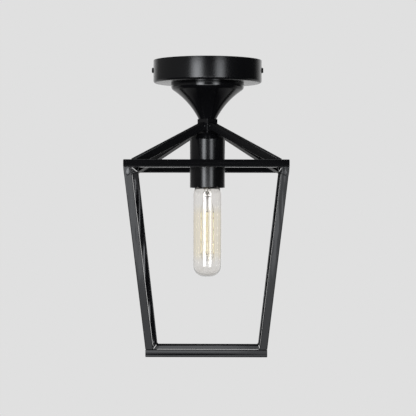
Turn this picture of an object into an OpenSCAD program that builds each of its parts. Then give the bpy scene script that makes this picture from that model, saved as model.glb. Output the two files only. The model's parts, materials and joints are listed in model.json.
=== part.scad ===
// Porch ceiling lantern: a tapered open cage of square steel tube, close under the ceiling,
// round a clear tubular filament bulb.
// Millimetres, +Z up. The origin is the centre of the ceiling face, so every piece hangs below
// zero. The front is towards -Y. Threads other than the bulb's are drawn at their plain diameter.

/* [Overall size] */
// Height from the ceiling to the underside of the lower ring
total_h = 330; // [275:1:400]
// Width over the upper ring
cage_w = 180; // [150:2:220]
// Width over the lower ring
cage_foot_w = 133; // [110:1:170]
// Depth of the upper ring's top face below the ceiling
ring_drop = 115; // [96:1:140]

/* [Cage tube] */
// Side of the square tube
tube = 8.4; // [6.5:0.1:10]
// Wall of the square tube
tube_wall = 1; // [0.8:0.1:1.5]
// Outside corner radius of the square tube
tube_round = 1; // [0.4:0.1:1.4]

/* [Hub] */
// Side and height of the hub block that the roof arms are welded to
hub_size = 16.6; // [14:0.1:20]
// Chamfer along the hub's upright edges
hub_edge = 0.8; // [0.3:0.1:1.5]
// Gap between a roof arm's underside and the edge of the sleeve's crown
arm_clear = 1.2; // [0.6:0.1:3]

/* [Canopy] */
// Diameter of the ceiling canopy
canopy_d = 122; // [114:1:150]
// Depth of the ceiling canopy
canopy_h = 25.5; // [24:0.1:34]
// Sheet thickness of the canopy
canopy_wall = 1; // [0.8:0.1:1.5]
// Outside radius of the canopy's lower edge
canopy_round = 2.5; // [1.6:0.1:5]

/* [Mounting strap] */
// Width of the mounting strap
strap_w = 20; // [16:1:26]
// Thickness of the mounting strap
strap_t = 1.5; // [1.2:0.1:2.5]
// Distance between the centres of the two fixing slots
slot_pitch = 80; // [70:1:86]
// Length of a fixing slot, end to end
slot_len = 20; // [10:1:22]
// Width of a fixing slot
slot_w = 5; // [4:0.5:6]
// Cable hole in the middle of the strap
strap_hole_d = 10.5; // [8:0.5:14]
// Reach of the strap's ears below the ceiling
ear_h = 17; // [15:0.5:20]

/* [Side screws] */
// Thread diameter of the two canopy side screws
side_screw_d = 4; // [3:0.5:5]
// Depth of the side screws below the ceiling
side_screw_drop = 11; // [9:0.5:13]
// Length of a side screw under its head
side_screw_len = 9; // [7:0.5:14]
// Diameter of a side screw's head
side_screw_head_d = 6.5; // [5.5:0.5:9]
// Height of a side screw's head
side_screw_head_h = 1.7; // [1.5:0.1:3]

/* [Trumpet cone] */
// Diameter of the cone's rim
cone_d = 82.2; // [68:0.1:98]
// Height of the cone, from the canopy to the hub
cone_h = 40.5; // [33:0.1:48]
// Diameter of the cone's foot
cone_foot_d = 20; // [18:0.5:26]
// Sheet thickness of the cone
cone_wall = 1.2; // [0.8:0.1:1.5]
// Straight height of the cone's rim
cone_rim_h = 3.8; // [0.5:0.1:4]
// Outside radius of the shoulder under the rim
cone_round = 5.2; // [4:0.1:8]
// Radius of the hollow flare
cone_flare = 85; // [60:1:120]

/* [Stem tube and nuts] */
// Diameter of the threaded stem tube
stem_d = 10; // [9:0.5:13]
// Bore of the threaded stem tube
stem_bore = 7; // [6:0.5:8]
// Width of the stem nuts across flats
nut_af = 14; // [13:0.5:19]
// Height of a stem nut
nut_h = 3; // [2.5:0.1:4]
// Diameter of the stem washer
washer_d = 20; // [16:0.5:24]
// Thickness of the stem washer
washer_t = 1.2; // [0.8:0.1:2]

/* [Lampholder] */
// Diameter of the lampholder sleeve
sleeve_d = 39.4; // [38:0.1:47.5]
// Height of the lampholder sleeve
sleeve_h = 60.6; // [60:0.1:74]
// Sheet thickness of the lampholder sleeve
sleeve_wall = 1; // [0.8:0.1:1.2]
// Diameter of the flat crown of the sleeve
sleeve_crown_d = 29; // [26:0.5:32]
// Height of the bevel round the crown
sleeve_bevel = 6; // [4:0.5:9]
// Gap between the insulating lampholder and the sleeve round it
holder_gap = 0.75; // [0.3:0.05:1.5]
// Height of the lampholder's cap
holder_cap_h = 12.5; // [12:0.5:16]

/* [Bulb] */
// Diameter of the tubular bulb
bulb_d = 32; // [28:0.1:38.5]
// Length of the bulb with its cap
bulb_len = 128.1; // [115:0.1:153]
// Height of the bulb's contact above the sleeve's mouth
bulb_seat = 28.3; // [28:0.1:29]
// Radius between the bulb's side and its end
bulb_round = 12.7; // [8:0.1:14]
// Radius of the shoulder between the bulb's side and its neck
bulb_shoulder = 14; // [10:0.5:18]
// Wall of the glass
glass_wall = 0.9; // [0.6:0.1:1.2]
// Lead of the cap's screw thread
thread_pitch = 3.629; // [3.4:0.001:3.8]
// Mean diameter of the cap's screw thread
thread_d = 25.2; // [25:0.05:25.4]
// Half the depth of the screw thread
thread_depth = 0.47; // [0.3:0.01:0.5]
// Radial clearance between the bulb's thread and the lampholder's
thread_gap = 0.25; // [0.2:0.01:0.35]

/* [Filaments] */
// Number of filament sticks
sticks = 4; // [2:1:6]
// Length of a filament stick
stick_len = 47; // [30:1:56]
// Radius of the circle that the sticks stand on
stick_circle = 6.9; // [5:0.1:8]
// Width of a filament stick
stick_w = 1.8; // [1:0.1:2.5]

/* [Hidden] */
$fn = 64;

// Clearances
tapped_gap = 0.05; // a screw or the stem tube in its tapped hole
hole_gap = 0.2;    // a screw or the stem tube in a plain hole
slip_gap = 0.1;    // pieces that slide together
weld_gap = 0.01;   // an arm's point and the corner that it is welded into
over = 1;          // how far a cut runs past the face that it opens

// Slots for a flat screwdriver
driver_slot_w = 0.9;
grub_slot_w = 0.5;

// Colours of the finishes
black_paint = "#242426";
zinc = "#b9bcc0";
brass = "#c9a452";
phenolic = "#2b2724";
clear_glass = [0.90, 0.88, 0.80, 0.35];

// The four sides and the four corners, as turns about the axis from the front and the front left
side_turn = [0, 180, -90, 90];       // front, back, left, right
corner_turn = [-135, -45, 135, 45];  // front left, front right, back left, back right

// Levels, from the ceiling down
canopy_floor_z = -(canopy_h - canopy_wall);
canopy_under_z = -canopy_h;
cone_foot_z = canopy_under_z - cone_h;
hub_under_z = cone_foot_z - hub_size;
sleeve_mouth_z = hub_under_z - sleeve_h;
upper_ring_z = -ring_drop;
lower_ring_z = -total_h + tube;

// Strap: the ears just miss the canopy's inner wall, and carry the side screws
canopy_r = canopy_d / 2;
strap_reach = sqrt(pow(canopy_r - canopy_wall - 3 * slip_gap, 2) - pow(strap_w / 2, 2));

lead_d = 2; // over the insulation of the leads inside the lantern

// Earth point on the strap: a ring terminal under a washer and a screw head
earth_x = strap_hole_d / 2 + 13;
earth_screw_d = 4;
earth_head_d = 7;
earth_head_h = 2.4;
ring_terminal_t = 0.8;
earth_washer_t = 0.8;
earth_washer_z = -strap_t - ring_terminal_t;
earth_head_z = earth_washer_z - earth_washer_t;
earth_barrel_y = 6;
earth_barrel_len = 4;
earth_barrel_wall = 0.6;
earth_lead_z = -strap_t - lead_d / 2 - earth_barrel_wall;
ring_terminal_r = 4;
ring_terminal_neck = 2;

// Terminal block on the canopy's floor, behind the stem
pole_pitch = 10;
poles = [-1, 0, 1] * pole_pitch; // live, neutral and earth
block_size = [31, 20, 14];
block_y = washer_d / 2 + 7 + block_size[1] / 2;
block_front_y = block_y - block_size[1] / 2;
clamp_z = canopy_floor_z + 8.8;
clamp_d = 5.4;
clamp_bore = 3;
clamp_len = 15;
clamp_screw_d = 2.6;
clamp_screw_spread = 4;
clamp_well_d = 3.6;
clamp_screw_h = 5;
block_screw_d = 2.5;
block_screw_x = -pole_pitch / 2;
block_screw_head_h = 1.6;
block_nut_h = 2;

// Trumpet cone: the shoulder's arc touches the flare's arc
cone_round_c = [cone_d / 2 - cone_round, canopy_under_z - cone_rim_h];
cone_foot = [cone_foot_d / 2, cone_foot_z];
foot_to_round = norm(cone_round_c - cone_foot);
foot_to_round_u = (cone_round_c - cone_foot) / foot_to_round;
flare_along = (pow(cone_flare, 2) - pow(cone_flare + cone_round, 2) + pow(foot_to_round, 2))
    / (2 * foot_to_round);
flare_aside = sqrt(pow(cone_flare, 2) - pow(flare_along, 2));
cone_flare_c = cone_foot + flare_along * foot_to_round_u
    + flare_aside * [foot_to_round_u[1], -foot_to_round_u[0]];

// Stem tube: from above the upper nut down into the lampholder's cap
stem_r = stem_d / 2;
washer_top_z = canopy_floor_z + washer_t;
stem_top_z = washer_top_z + nut_h + 0.8;
sleeve_nut_z = hub_under_z - sleeve_wall - nut_h;
holder_top_z = sleeve_nut_z - 0.5;
boss_h = 9.5;
stem_low_z = holder_top_z - boss_h + 1;

// Roof arms: the underside clears the crown's edge, and the top face meets the ring's inner
// corner level with the ring's top
crown_r = sleeve_crown_d / 2;
ring_corner_s = (cage_w / 2 - tube) * sqrt(2);
arm_fall = hub_under_z + arm_clear - upper_ring_z;
arm_run = ring_corner_s - crown_r;
arm_slope = asin(tube / norm([arm_run, arm_fall])) + atan(arm_fall / arm_run);
arm_start_s = hub_size / 2;
arm_start_z = upper_ring_z + (ring_corner_s - arm_start_s) * tan(arm_slope);

// Uprights: from under the upper ring's corners to the top of the lower ring's corners
upright_top_z = upper_ring_z - tube;
upright_h = upright_top_z - lower_ring_z;
upright_lean = atan((cage_w - cage_foot_w) / 2 * sqrt(2) / upright_h);
tube_half_diagonal = tube / sqrt(2);
upright_top_s = cage_w / 2 * sqrt(2) - tube_half_diagonal / cos(upright_lean);

// Lampholder
sleeve_r = sleeve_d / 2;
bevel_angle = atan(sleeve_bevel / (sleeve_r - crown_r));
holder_r = sleeve_r - sleeve_wall - holder_gap;
holder_cap_wall = 2.2;
holder_crown_t = 2.5;
holder_body_wall = 2.2;
holder_joint_h = 3;
holder_split_z = holder_top_z - holder_cap_h;
boss_r = stem_r + 3;
contact_gap = 0.1;
contact_rise = 4.2;
leaf_t = 0.6;
leaf_w = 6;
bulb_tip_z = sleeve_mouth_z + bulb_seat;
holder_floor_z = bulb_tip_z + contact_gap + contact_rise;
holder_floor_t = 4;
holder_floor_top_z = holder_floor_z + holder_floor_t;
holder_mouth_z = sleeve_mouth_z + 5.3;
shell_wall = 0.6;
shell_r = thread_d / 2 + thread_depth + thread_gap + shell_wall;
shell_mouth_z = holder_mouth_z + 1;
chamber_r = holder_r - holder_cap_wall - holder_body_wall;
terminal_x = 9;
terminal_size = [5, 6, 5];
rivet_d = 2.5;
rivet_head_h = 0.6;
rivet_head_r = 1.95;
lead_hole_d = 2.4;
lead_level_z = holder_floor_top_z + 2.3;
terminal_screw_d = 2.5;
terminal_head_d = 4.1;
terminal_head_h = 1.4;

// Bulb
bulb_r = bulb_d / 2;
bulb_end_z = bulb_tip_z - bulb_len;
cap_len = 26;
cap_rim_z = bulb_tip_z - cap_len;
tip_h = 1.6;
tip_r = 4.6;
insulator_low_z = bulb_tip_z - 6;
thread_top_z = insulator_low_z;
thread_low_z = thread_top_z - 16;
cap_bore_r = thread_d / 2 - thread_depth - 0.5;
insulator_r = cap_bore_r - slip_gap;
cap_skirt_r = thread_d / 2 + thread_depth;
skirt_bevel = 2 * thread_depth + 0.3; // draws the skirt in to just under the thread's root
neck_r = cap_bore_r - slip_gap;
shoulder_z = cap_rim_z - sqrt(pow(bulb_shoulder, 2) - pow(bulb_shoulder - bulb_r + neck_r, 2));
neck_top_z = cap_rim_z + 7;
glass_stem_r = 4.5;
glass_stem_z = cap_rim_z - 13;
exhaust_r = 1;
board_size = [16, 1.2, 10];
board_z = neck_top_z + 1.2;
capacitor_x = 2.5;
capacitor_r = 3;
capacitor_h = 8;

// Filament sticks and their wires
stick_t = 1;
tab_len = 3.2;
tab_size = [0.9, 0.3];
wire_drop = 13.5;
stick_top_z = glass_stem_z - wire_drop - tab_len;
wire_d = 0.5;
wire_start_r = glass_stem_r - 1;
spider_drop = 4;
spider_z = stick_top_z - stick_len - tab_len - spider_drop;

// Supply leads, as the corners of their routes with rounded bends
lead_spread = 1.6;
lead_bend = 3;
lead_turn_z = stem_top_z + 3.2;
function supply_route(side, pole) = [
    [pole, block_front_y + 3, clamp_z],
    [pole, block_front_y - 5, clamp_z],
    [side * lead_spread, 0, lead_turn_z],
    [side * lead_spread, 0, lead_level_z],
    [side * (terminal_x + 1), 0, lead_level_z]
];
earth_route = [
    [poles[2], block_front_y + 3, clamp_z],
    [poles[2], block_front_y - 4, clamp_z],
    [earth_x, block_front_y - 4, -strap_t - 5],
    [earth_x, block_front_y - 5, earth_lead_z],
    [earth_x, earth_barrel_y + 1, earth_lead_z]
];

// ---------------------------------------------------------------- shared shapes

function unit(v) = v / norm(v);

// The part of v that is square to the direction t
function square_to(v, t) = unit(v - (v * t) * t);

// The corners p joined by straight runs, each inner corner rounded over the distance r
function rounded_path(p, r, steps = 4) = concat(
    [p[0]],
    [for (i = [1 : len(p) - 2])
        let (a = p[i] + unit(p[i - 1] - p[i]) * r, b = p[i] + unit(p[i + 1] - p[i]) * r)
        for (k = [0 : steps])
            let (t = k / steps) pow(1 - t, 2) * a + 2 * t * (1 - t) * p[i] + pow(t, 2) * b],
    [p[len(p) - 1]]
);

// Points along an arc, both ends included
function arc(centre, r, from, to, steps) = [for (i = [0 : steps])
    let (turn = from + (to - from) * i / steps) centre + r * [cos(turn), sin(turn)]];

function directions(p) = [for (i = [0 : len(p) - 1])
    unit(p[min(i + 1, len(p) - 1)] - p[max(i - 1, 0)])];

// A sideways direction at each point of a path, carried along with as little turning as can be
function sideways(t) = [for (i = 0, n = square_to([0.3, 0.5, 0.8], t[0]); i < len(t);
    i = i + 1, n = square_to(n, t[min(i, len(t) - 1)])) n];

// Faces of a closed skin over rings of points, each ring with the same count
function ring_faces(rings, count) = concat(
    [for (i = [0 : rings - 2]) for (k = [0 : count - 1])
        let (a = i * count + k, b = i * count + (k + 1) % count) each
            [[a, b, b + count], [a, b + count, a + count]]],
    [for (k = [1 : count - 2]) [0, k + 1, k]],
    [for (k = [1 : count - 2]) let (e = (rings - 1) * count) [e, e + k, e + k + 1]]
);

module tube_along(p, d, count = 8) {
    t = directions(p);
    n = sideways(t);
    points = [for (i = [0 : len(p) - 1]) for (k = [0 : count - 1])
        p[i] + d / 2 * (cos(360 * k / count) * n[i] + sin(360 * k / count) * cross(t[i], n[i]))];
    polyhedron(points, [for (f = ring_faces(len(p), count)) [f[0], f[2], f[1]]]);
}

// A solid whose wall waves with a right-hand screw thread, which sinks to the root over run_out
// at both ends
module threaded_core(mean_r, low_z, high_z, run_out) {
    root_r = mean_r - thread_depth;
    count = 28;
    rings = ceil((high_z - low_z) / thread_pitch * 10) + 1;
    points = [for (i = [0 : rings - 1]) let (z = low_z + (high_z - low_z) * i / (rings - 1))
        for (k = [0 : count - 1])
            let (
                a = 360 * k / count,
                fade = run_out == 0 ? 1 : min(1, (z - low_z) / run_out, (high_z - z) / run_out),
                r = root_r + fade * thread_depth * (1 + cos(a - 360 * z / thread_pitch))
            ) [r * cos(a), r * sin(a), z]];
    polyhedron(points, [for (f = ring_faces(rings, count)) [f[0], f[2], f[1]]]);
}

module rod(a, b, d) {
    v = b - a;
    translate(a)
        rotate([0, acos(v[2] / norm(v)), atan2(v[1], v[0])])
            cylinder(h = norm(v), r = d / 2, $fn = 24);
}

module rounded_square(size, r) {
    square([size, size - 2 * r], center = true);
    square([size - 2 * r, size], center = true);
    for (x = [-1, 1], y = [-1, 1])
        translate([x, y] * (size / 2 - r)) circle(r, $fn = 24);
}

module tube_section() {
    difference() {
        rounded_square(tube, tube_round);
        square(tube - 2 * tube_wall, center = true);
    }
}

// Half outline of a cup that opens at z = 0
module cup_outline(r, depth, round) {
    translate([0, -depth]) square([r - round, depth]);
    translate([0, round - depth]) square([r, depth - round]);
    translate([r - round, round - depth]) circle(round);
}

module hex_nut(low_z, height, af, bore_r) {
    translate([0, 0, low_z]) difference() {
        cylinder(h = height, r = af / 2 / cos(30), $fn = 6);
        translate([0, 0, -over]) cylinder(h = height + 2 * over, r = bore_r);
    }
}

module ring(low_z, height, r, bore_r) {
    translate([0, 0, low_z]) difference() {
        cylinder(h = height, r = r);
        translate([0, 0, -over]) cylinder(h = height + 2 * over, r = bore_r);
    }
}

// A slotted screw along +Z: the head's flat underside at zero, the shank above it
module slotted_screw(shank_d, shank_len, head_d, head_h) {
    slot = [head_d + 2 * over, driver_slot_w, head_h * 0.45];
    cylinder(h = shank_len, r = shank_d / 2);
    translate([0, 0, -head_h]) difference() {
        cylinder(h = head_h, r1 = head_d / 2 - head_h * 0.4, r2 = head_d / 2);
        translate([0, 0, slot[2] / 2 - over]) cube([slot[0], slot[1], slot[2] + 2 * over],
            center = true);
    }
}

// ---------------------------------------------------------------- ceiling end

module fixing_slot() {
    slot_run = slot_len - slot_w;
    translate([0, 0, -strap_t - over]) {
        for (x = [-1, 1])
            translate([x * slot_run / 2, 0, 0]) cylinder(h = strap_t + 2 * over, r = slot_w / 2);
        translate([-slot_run / 2, -slot_w / 2, 0])
            cube([slot_run, slot_w, strap_t + 2 * over]);
    }
}

module mounting_strap() {
    color(zinc) difference() {
        union() {
            translate([-strap_reach, -strap_w / 2, -strap_t])
                cube([2 * strap_reach, strap_w, strap_t]);
            for (side = [-1, 1])
                translate([side * (strap_reach - strap_t / 2) - strap_t / 2, -strap_w / 2, -ear_h])
                    cube([strap_t, strap_w, ear_h]);
        }
        for (side = [-1, 1]) {
            translate([side * slot_pitch / 2, 0, 0]) fixing_slot();
            translate([side * strap_reach, 0, -side_screw_drop]) rotate([0, 90, 0])
                cylinder(h = 4 * strap_t, r = side_screw_d / 2 + tapped_gap, center = true);
        }
        translate([0, 0, -strap_t - over]) {
            cylinder(h = strap_t + 2 * over, r = strap_hole_d / 2);
            translate([earth_x, 0, 0])
                cylinder(h = strap_t + 2 * over, r = earth_screw_d / 2 + tapped_gap);
        }
    }
}

module earth_screw() {
    color(brass) translate([earth_x, 0, earth_head_z])
        slotted_screw(earth_screw_d, -earth_head_z - slip_gap, earth_head_d, earth_head_h);
}

module earth_washer() {
    color(zinc) translate([earth_x, 0, 0])
        ring(earth_head_z, earth_washer_t, earth_head_d / 2 + 1, earth_screw_d / 2 + hole_gap);
}

module earth_ring_terminal() {
    color(brass) translate([earth_x, 0, 0]) difference() {
        union() {
            translate([0, 0, earth_washer_z]) cylinder(h = ring_terminal_t, r = ring_terminal_r);
            translate([-ring_terminal_neck / 2, 0, earth_washer_z])
                cube([ring_terminal_neck, earth_barrel_y + earth_barrel_len, ring_terminal_t]);
            translate([0, earth_barrel_y, earth_lead_z]) rotate([-90, 0, 0])
                cylinder(h = earth_barrel_len, r = lead_d / 2 + earth_barrel_wall);
        }
        translate([0, 0, earth_washer_z - over])
            cylinder(h = ring_terminal_t + 2 * over, r = earth_screw_d / 2 + hole_gap);
        translate([0, earth_barrel_y - over, earth_lead_z]) rotate([-90, 0, 0])
            cylinder(h = earth_barrel_len + 2 * over, r = lead_d / 2 + slip_gap);
        translate([-ring_terminal_r, 0, -strap_t])
            cube([2 * ring_terminal_r, earth_barrel_y + earth_barrel_len + over, lead_d]);
    }
}

module canopy() {
    color(black_paint) difference() {
        rotate_extrude() difference() {
            cup_outline(canopy_r, canopy_h, canopy_round);
            cup_outline(canopy_r - canopy_wall, canopy_h - canopy_wall,
                canopy_round - canopy_wall);
        }
        translate([0, 0, canopy_under_z - over])
            cylinder(h = canopy_wall + 2 * over, r = stem_r + hole_gap);
        translate([block_screw_x, block_y, canopy_under_z - over])
            cylinder(h = canopy_wall + 2 * over, r = block_screw_d / 2 + hole_gap);
        for (side = [-1, 1])
            translate([side * canopy_r, 0, -side_screw_drop]) rotate([0, 90, 0])
                cylinder(h = 4 * canopy_wall, r = side_screw_d / 2 + hole_gap, center = true);
    }
}

module canopy_side_screws() {
    color(black_paint) for (side = [-1, 1])
        translate([side * canopy_r, 0, -side_screw_drop]) rotate([0, -side * 90, 0])
            slotted_screw(side_screw_d, side_screw_len, side_screw_head_d, side_screw_head_h);
}

module terminal_block() {
    color("#e8e6df") difference() {
        translate([-block_size[0] / 2, block_front_y, canopy_floor_z]) cube(block_size);
        for (x = poles) translate([x, block_y, clamp_z]) {
            rotate([90, 0, 0]) cylinder(h = clamp_len + 2 * slip_gap, r = clamp_d / 2 + slip_gap,
                center = true);
            rotate([90, 0, 0]) cylinder(h = block_size[1] + 2 * over, r = clamp_bore / 2 + hole_gap,
                center = true);
            for (y = [-1, 1]) translate([0, y * clamp_screw_spread, 0])
                cylinder(h = block_size[2], r = clamp_well_d / 2);
        }
        translate([block_screw_x, block_y, canopy_floor_z - over])
            cylinder(h = block_size[2] + 2 * over, r = block_screw_d / 2 + hole_gap);
    }
}

module terminal_clamps() {
    color(brass) for (x = poles) translate([x, block_y, clamp_z]) difference() {
        rotate([90, 0, 0]) cylinder(h = clamp_len, r = clamp_d / 2, center = true);
        rotate([90, 0, 0]) cylinder(h = clamp_len + 2 * over, r = clamp_bore / 2, center = true);
        for (y = [-1, 1]) translate([0, y * clamp_screw_spread, 0])
            cylinder(h = clamp_d, r = clamp_screw_d / 2 + tapped_gap);
    }
}

// Six screws; their points stand just clear of the wires in the front half
module terminal_clamp_screws() {
    color(zinc) for (x = poles, y = [-1, 1])
        translate([x, block_y + y * clamp_screw_spread, clamp_z + lead_d / 2 + slip_gap])
            difference() {
                cylinder(h = clamp_screw_h - lead_d / 2, r = clamp_screw_d / 2);
                translate([0, 0, clamp_screw_h - lead_d / 2])
                    cube([clamp_screw_d * 2, grub_slot_w, 2 * grub_slot_w], center = true);
            }
}

module terminal_block_screw() {
    head_z = canopy_floor_z + block_size[2];
    color(zinc) translate([block_screw_x, block_y, head_z]) rotate([180, 0, 0])
        slotted_screw(block_screw_d, block_size[2] + canopy_wall + block_nut_h + 0.8,
            block_screw_d * 1.8, block_screw_head_h);
}

module terminal_block_nut() {
    color(zinc) translate([block_screw_x, block_y, 0])
        hex_nut(canopy_under_z - block_nut_h, block_nut_h, 2 * block_screw_d,
            block_screw_d / 2 + tapped_gap);
}

module live_lead() {
    color("#7a4a2a") tube_along(rounded_path(supply_route(-1, poles[0]), lead_bend), lead_d);
}

module neutral_lead() {
    color("#2f5fae") tube_along(rounded_path(supply_route(1, poles[1]), lead_bend), lead_d);
}

module earth_lead() {
    color("#6f9e2e") tube_along(rounded_path(earth_route, 1.5), lead_d);
}

// ---------------------------------------------------------------- trumpet cone, stem and hub

// A straight rim, the shoulder's arc, the hollow flare's arc and a flat foot, in one sheet
module trumpet_cone() {
    to_flare = cone_flare_c - cone_round_c;
    shoulder_turn = atan2(to_flare[1], to_flare[0]);
    flare_start = shoulder_turn + 180;
    inner_flare = cone_flare + cone_wall;
    outer_foot_turn = 180 - asin((cone_foot_z - cone_flare_c[1]) / cone_flare);
    inner_foot_turn = 180 - asin((cone_foot_z + cone_wall - cone_flare_c[1]) / inner_flare);
    hole_r = stem_r + hole_gap;
    color(black_paint) rotate_extrude() polygon(concat(
        [[hole_r, cone_foot_z + cone_wall], [hole_r, cone_foot_z]],
        arc(cone_flare_c, cone_flare, outer_foot_turn, flare_start, 14),
        arc(cone_round_c, cone_round, shoulder_turn, 0, 8),
        [[cone_d / 2, canopy_under_z], [cone_d / 2 - cone_wall, canopy_under_z]],
        arc(cone_round_c, cone_round - cone_wall, 0, shoulder_turn, 8),
        arc(cone_flare_c, inner_flare, flare_start, inner_foot_turn, 14)
    ));
}

module stem_tube() {
    color(zinc) ring(stem_low_z, stem_top_z - stem_low_z, stem_r, stem_bore / 2);
}

module stem_upper_nut() {
    color(zinc) hex_nut(washer_top_z, nut_h, nut_af, stem_r + tapped_gap);
}

module stem_upper_washer() {
    color(zinc) ring(canopy_floor_z, washer_t, washer_d / 2, stem_r + hole_gap);
}

// The block stands with its faces to the four corners, so each arm butts on a face
module hub_block() {
    half = hub_size / 2;
    color(black_paint) rotate([0, 0, 45]) translate([0, 0, hub_under_z]) difference() {
        linear_extrude(hub_size) polygon([for (turn = [0 : 90 : 270])
            each [[half, hub_edge - half], [half, half - hub_edge]]
                * [[cos(turn), sin(turn)], [-sin(turn), cos(turn)]]]);
        translate([0, 0, -over]) cylinder(h = hub_size + 2 * over, r = stem_r + tapped_gap);
    }
}

// ---------------------------------------------------------------- cage

// The arm's outer end is cut to a point that fits the ring's inner corner
module roof_arm(turn) {
    length = (ring_corner_s - arm_start_s) / cos(arm_slope);
    point_s = ring_corner_s - weld_gap;
    color(black_paint) rotate([0, 0, turn]) intersection() {
        translate([arm_start_s, 0, arm_start_z]) rotate([0, arm_slope, 0])
            translate([-tube, 0, -tube / 2]) rotate([90, 0, 90])
                linear_extrude(length + 2 * tube) tube_section();
        translate([0, 0, -total_h]) linear_extrude(total_h) polygon([
            [arm_start_s, -tube], [point_s - tube, -tube], [point_s, 0],
            [point_s - tube, tube], [arm_start_s, tube]
        ]);
    }
}

// One mitred bar of a ring whose top face is at top_z
module ring_bar(width, top_z, turn) {
    half = width / 2;
    color(black_paint) rotate([0, 0, turn]) intersection() {
        translate([-half, tube / 2 - half, top_z - tube / 2]) rotate([90, 0, 90])
            linear_extrude(width) tube_section();
        translate([0, 0, top_z - tube - over]) linear_extrude(tube + 2 * over)
            polygon([[-half, -half], [half, -half], [0, 0]]);
    }
}

module upright(turn) {
    color(black_paint) rotate([0, 0, turn]) intersection() {
        translate([upright_top_s, 0, upright_top_z]) rotate([0, 180 + upright_lean, 0])
            translate([0, 0, -tube]) rotate([0, 0, 45])
                linear_extrude(upright_h / cos(upright_lean) + 2 * tube) tube_section();
        translate([0, -tube, lower_ring_z]) cube([cage_w, 2 * tube, upright_h]);
    }
}

module roof_arm_front_left() { roof_arm(corner_turn[0]); }
module roof_arm_front_right() { roof_arm(corner_turn[1]); }
module roof_arm_back_left() { roof_arm(corner_turn[2]); }
module roof_arm_back_right() { roof_arm(corner_turn[3]); }

module upper_bar_front() { ring_bar(cage_w, upper_ring_z, side_turn[0]); }
module upper_bar_back() { ring_bar(cage_w, upper_ring_z, side_turn[1]); }
module upper_bar_left() { ring_bar(cage_w, upper_ring_z, side_turn[2]); }
module upper_bar_right() { ring_bar(cage_w, upper_ring_z, side_turn[3]); }

module upright_front_left() { upright(corner_turn[0]); }
module upright_front_right() { upright(corner_turn[1]); }
module upright_back_left() { upright(corner_turn[2]); }
module upright_back_right() { upright(corner_turn[3]); }

module lower_bar_front() { ring_bar(cage_foot_w, lower_ring_z, side_turn[0]); }
module lower_bar_back() { ring_bar(cage_foot_w, lower_ring_z, side_turn[1]); }
module lower_bar_left() { ring_bar(cage_foot_w, lower_ring_z, side_turn[2]); }
module lower_bar_right() { ring_bar(cage_foot_w, lower_ring_z, side_turn[3]); }

// ---------------------------------------------------------------- lampholder

module lampholder_sleeve() {
    top = hub_under_z;
    bevel_low = top - sleeve_bevel;
    inner_r = sleeve_r - sleeve_wall;
    color(black_paint) rotate_extrude() polygon([
        [stem_r + hole_gap, top], [crown_r, top], [sleeve_r, bevel_low],
        [sleeve_r, sleeve_mouth_z], [inner_r, sleeve_mouth_z],
        [inner_r, bevel_low - sleeve_wall * tan((90 - bevel_angle) / 2)],
        [crown_r - sleeve_wall * tan(bevel_angle / 2), top - sleeve_wall],
        [stem_r + hole_gap, top - sleeve_wall]
    ]);
}

module sleeve_nut() {
    color(zinc) hex_nut(sleeve_nut_z, nut_h, nut_af, stem_r + tapped_gap);
}

// Moulded cap with a tapped boss for the stem tube; its skirt takes the body's spigot
module holder_cap() {
    inner_r = holder_r - holder_cap_wall;
    shoulder_z = hub_under_z - sleeve_bevel - slip_gap;
    color(phenolic) difference() {
        union() {
            translate([0, 0, holder_split_z])
                cylinder(h = shoulder_z - holder_split_z, r = holder_r);
            translate([0, 0, shoulder_z])
                cylinder(h = holder_top_z - shoulder_z, r1 = holder_r, r2 = crown_r - over);
        }
        difference() {
            translate([0, 0, holder_split_z - over])
                cylinder(h = holder_cap_h - holder_crown_t + over, r = inner_r);
            translate([0, 0, holder_top_z - boss_h]) cylinder(h = boss_h, r = boss_r);
        }
        translate([0, 0, holder_split_z - over])
            cylinder(h = holder_cap_h + 2 * over, r = stem_r + tapped_gap);
    }
}

module holder_body() {
    spigot_top_z = holder_split_z + holder_joint_h;
    color(phenolic) difference() {
        union() {
            translate([0, 0, holder_mouth_z])
                cylinder(h = holder_split_z - holder_mouth_z, r = holder_r);
            translate([0, 0, holder_mouth_z]) cylinder(h = spigot_top_z - holder_mouth_z,
                r = holder_r - holder_cap_wall - slip_gap);
        }
        translate([0, 0, holder_floor_top_z])
            cylinder(h = spigot_top_z - holder_floor_top_z + over, r = chamber_r);
        translate([0, 0, holder_mouth_z - over])
            cylinder(h = holder_floor_z - holder_mouth_z + over, r = shell_r + slip_gap);
        for (side = [-1, 1])
            translate([side * terminal_x, 0, holder_floor_z - over])
                cylinder(h = holder_floor_t + 2 * over, r = rivet_d / 2 + slip_gap);
    }
}

module screw_shell() {
    tab_in = terminal_x - rivet_d;
    color(brass) difference() {
        union() {
            difference() {
                translate([0, 0, shell_mouth_z])
                    cylinder(h = holder_floor_z - shell_mouth_z, r = shell_r);
                threaded_core(thread_d / 2 + thread_gap, shell_mouth_z - over,
                    holder_floor_z + over, 0);
            }
            translate([tab_in, -leaf_w / 2, holder_floor_z - leaf_t])
                cube([shell_r - shell_wall - tab_in, leaf_w, leaf_t]);
        }
        translate([terminal_x, 0, holder_floor_z - leaf_t - over])
            cylinder(h = leaf_t + 2 * over, r = rivet_d / 2 + slip_gap);
    }
}

// A bent leaf: riveted at one end, springing down to the middle of the bulb's contact
module centre_contact() {
    start_x = -terminal_x - 2.2;
    bend_x = -terminal_x + 2.6;
    drop = contact_rise - leaf_t;
    color(brass) difference() {
        translate([0, leaf_w / 2, holder_floor_z]) rotate([90, 0, 0]) linear_extrude(leaf_w) polygon([
            [start_x, 0], [bend_x, 0], [-1.5, -drop], [3, -drop],
            [3, -drop - leaf_t], [-1.8, -drop - leaf_t], [bend_x - 0.3, -leaf_t],
            [start_x, -leaf_t]
        ]);
        translate([-terminal_x, 0, holder_floor_z - leaf_t - over])
            cylinder(h = leaf_t + 2 * over, r = rivet_d / 2 + slip_gap);
    }
}

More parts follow.
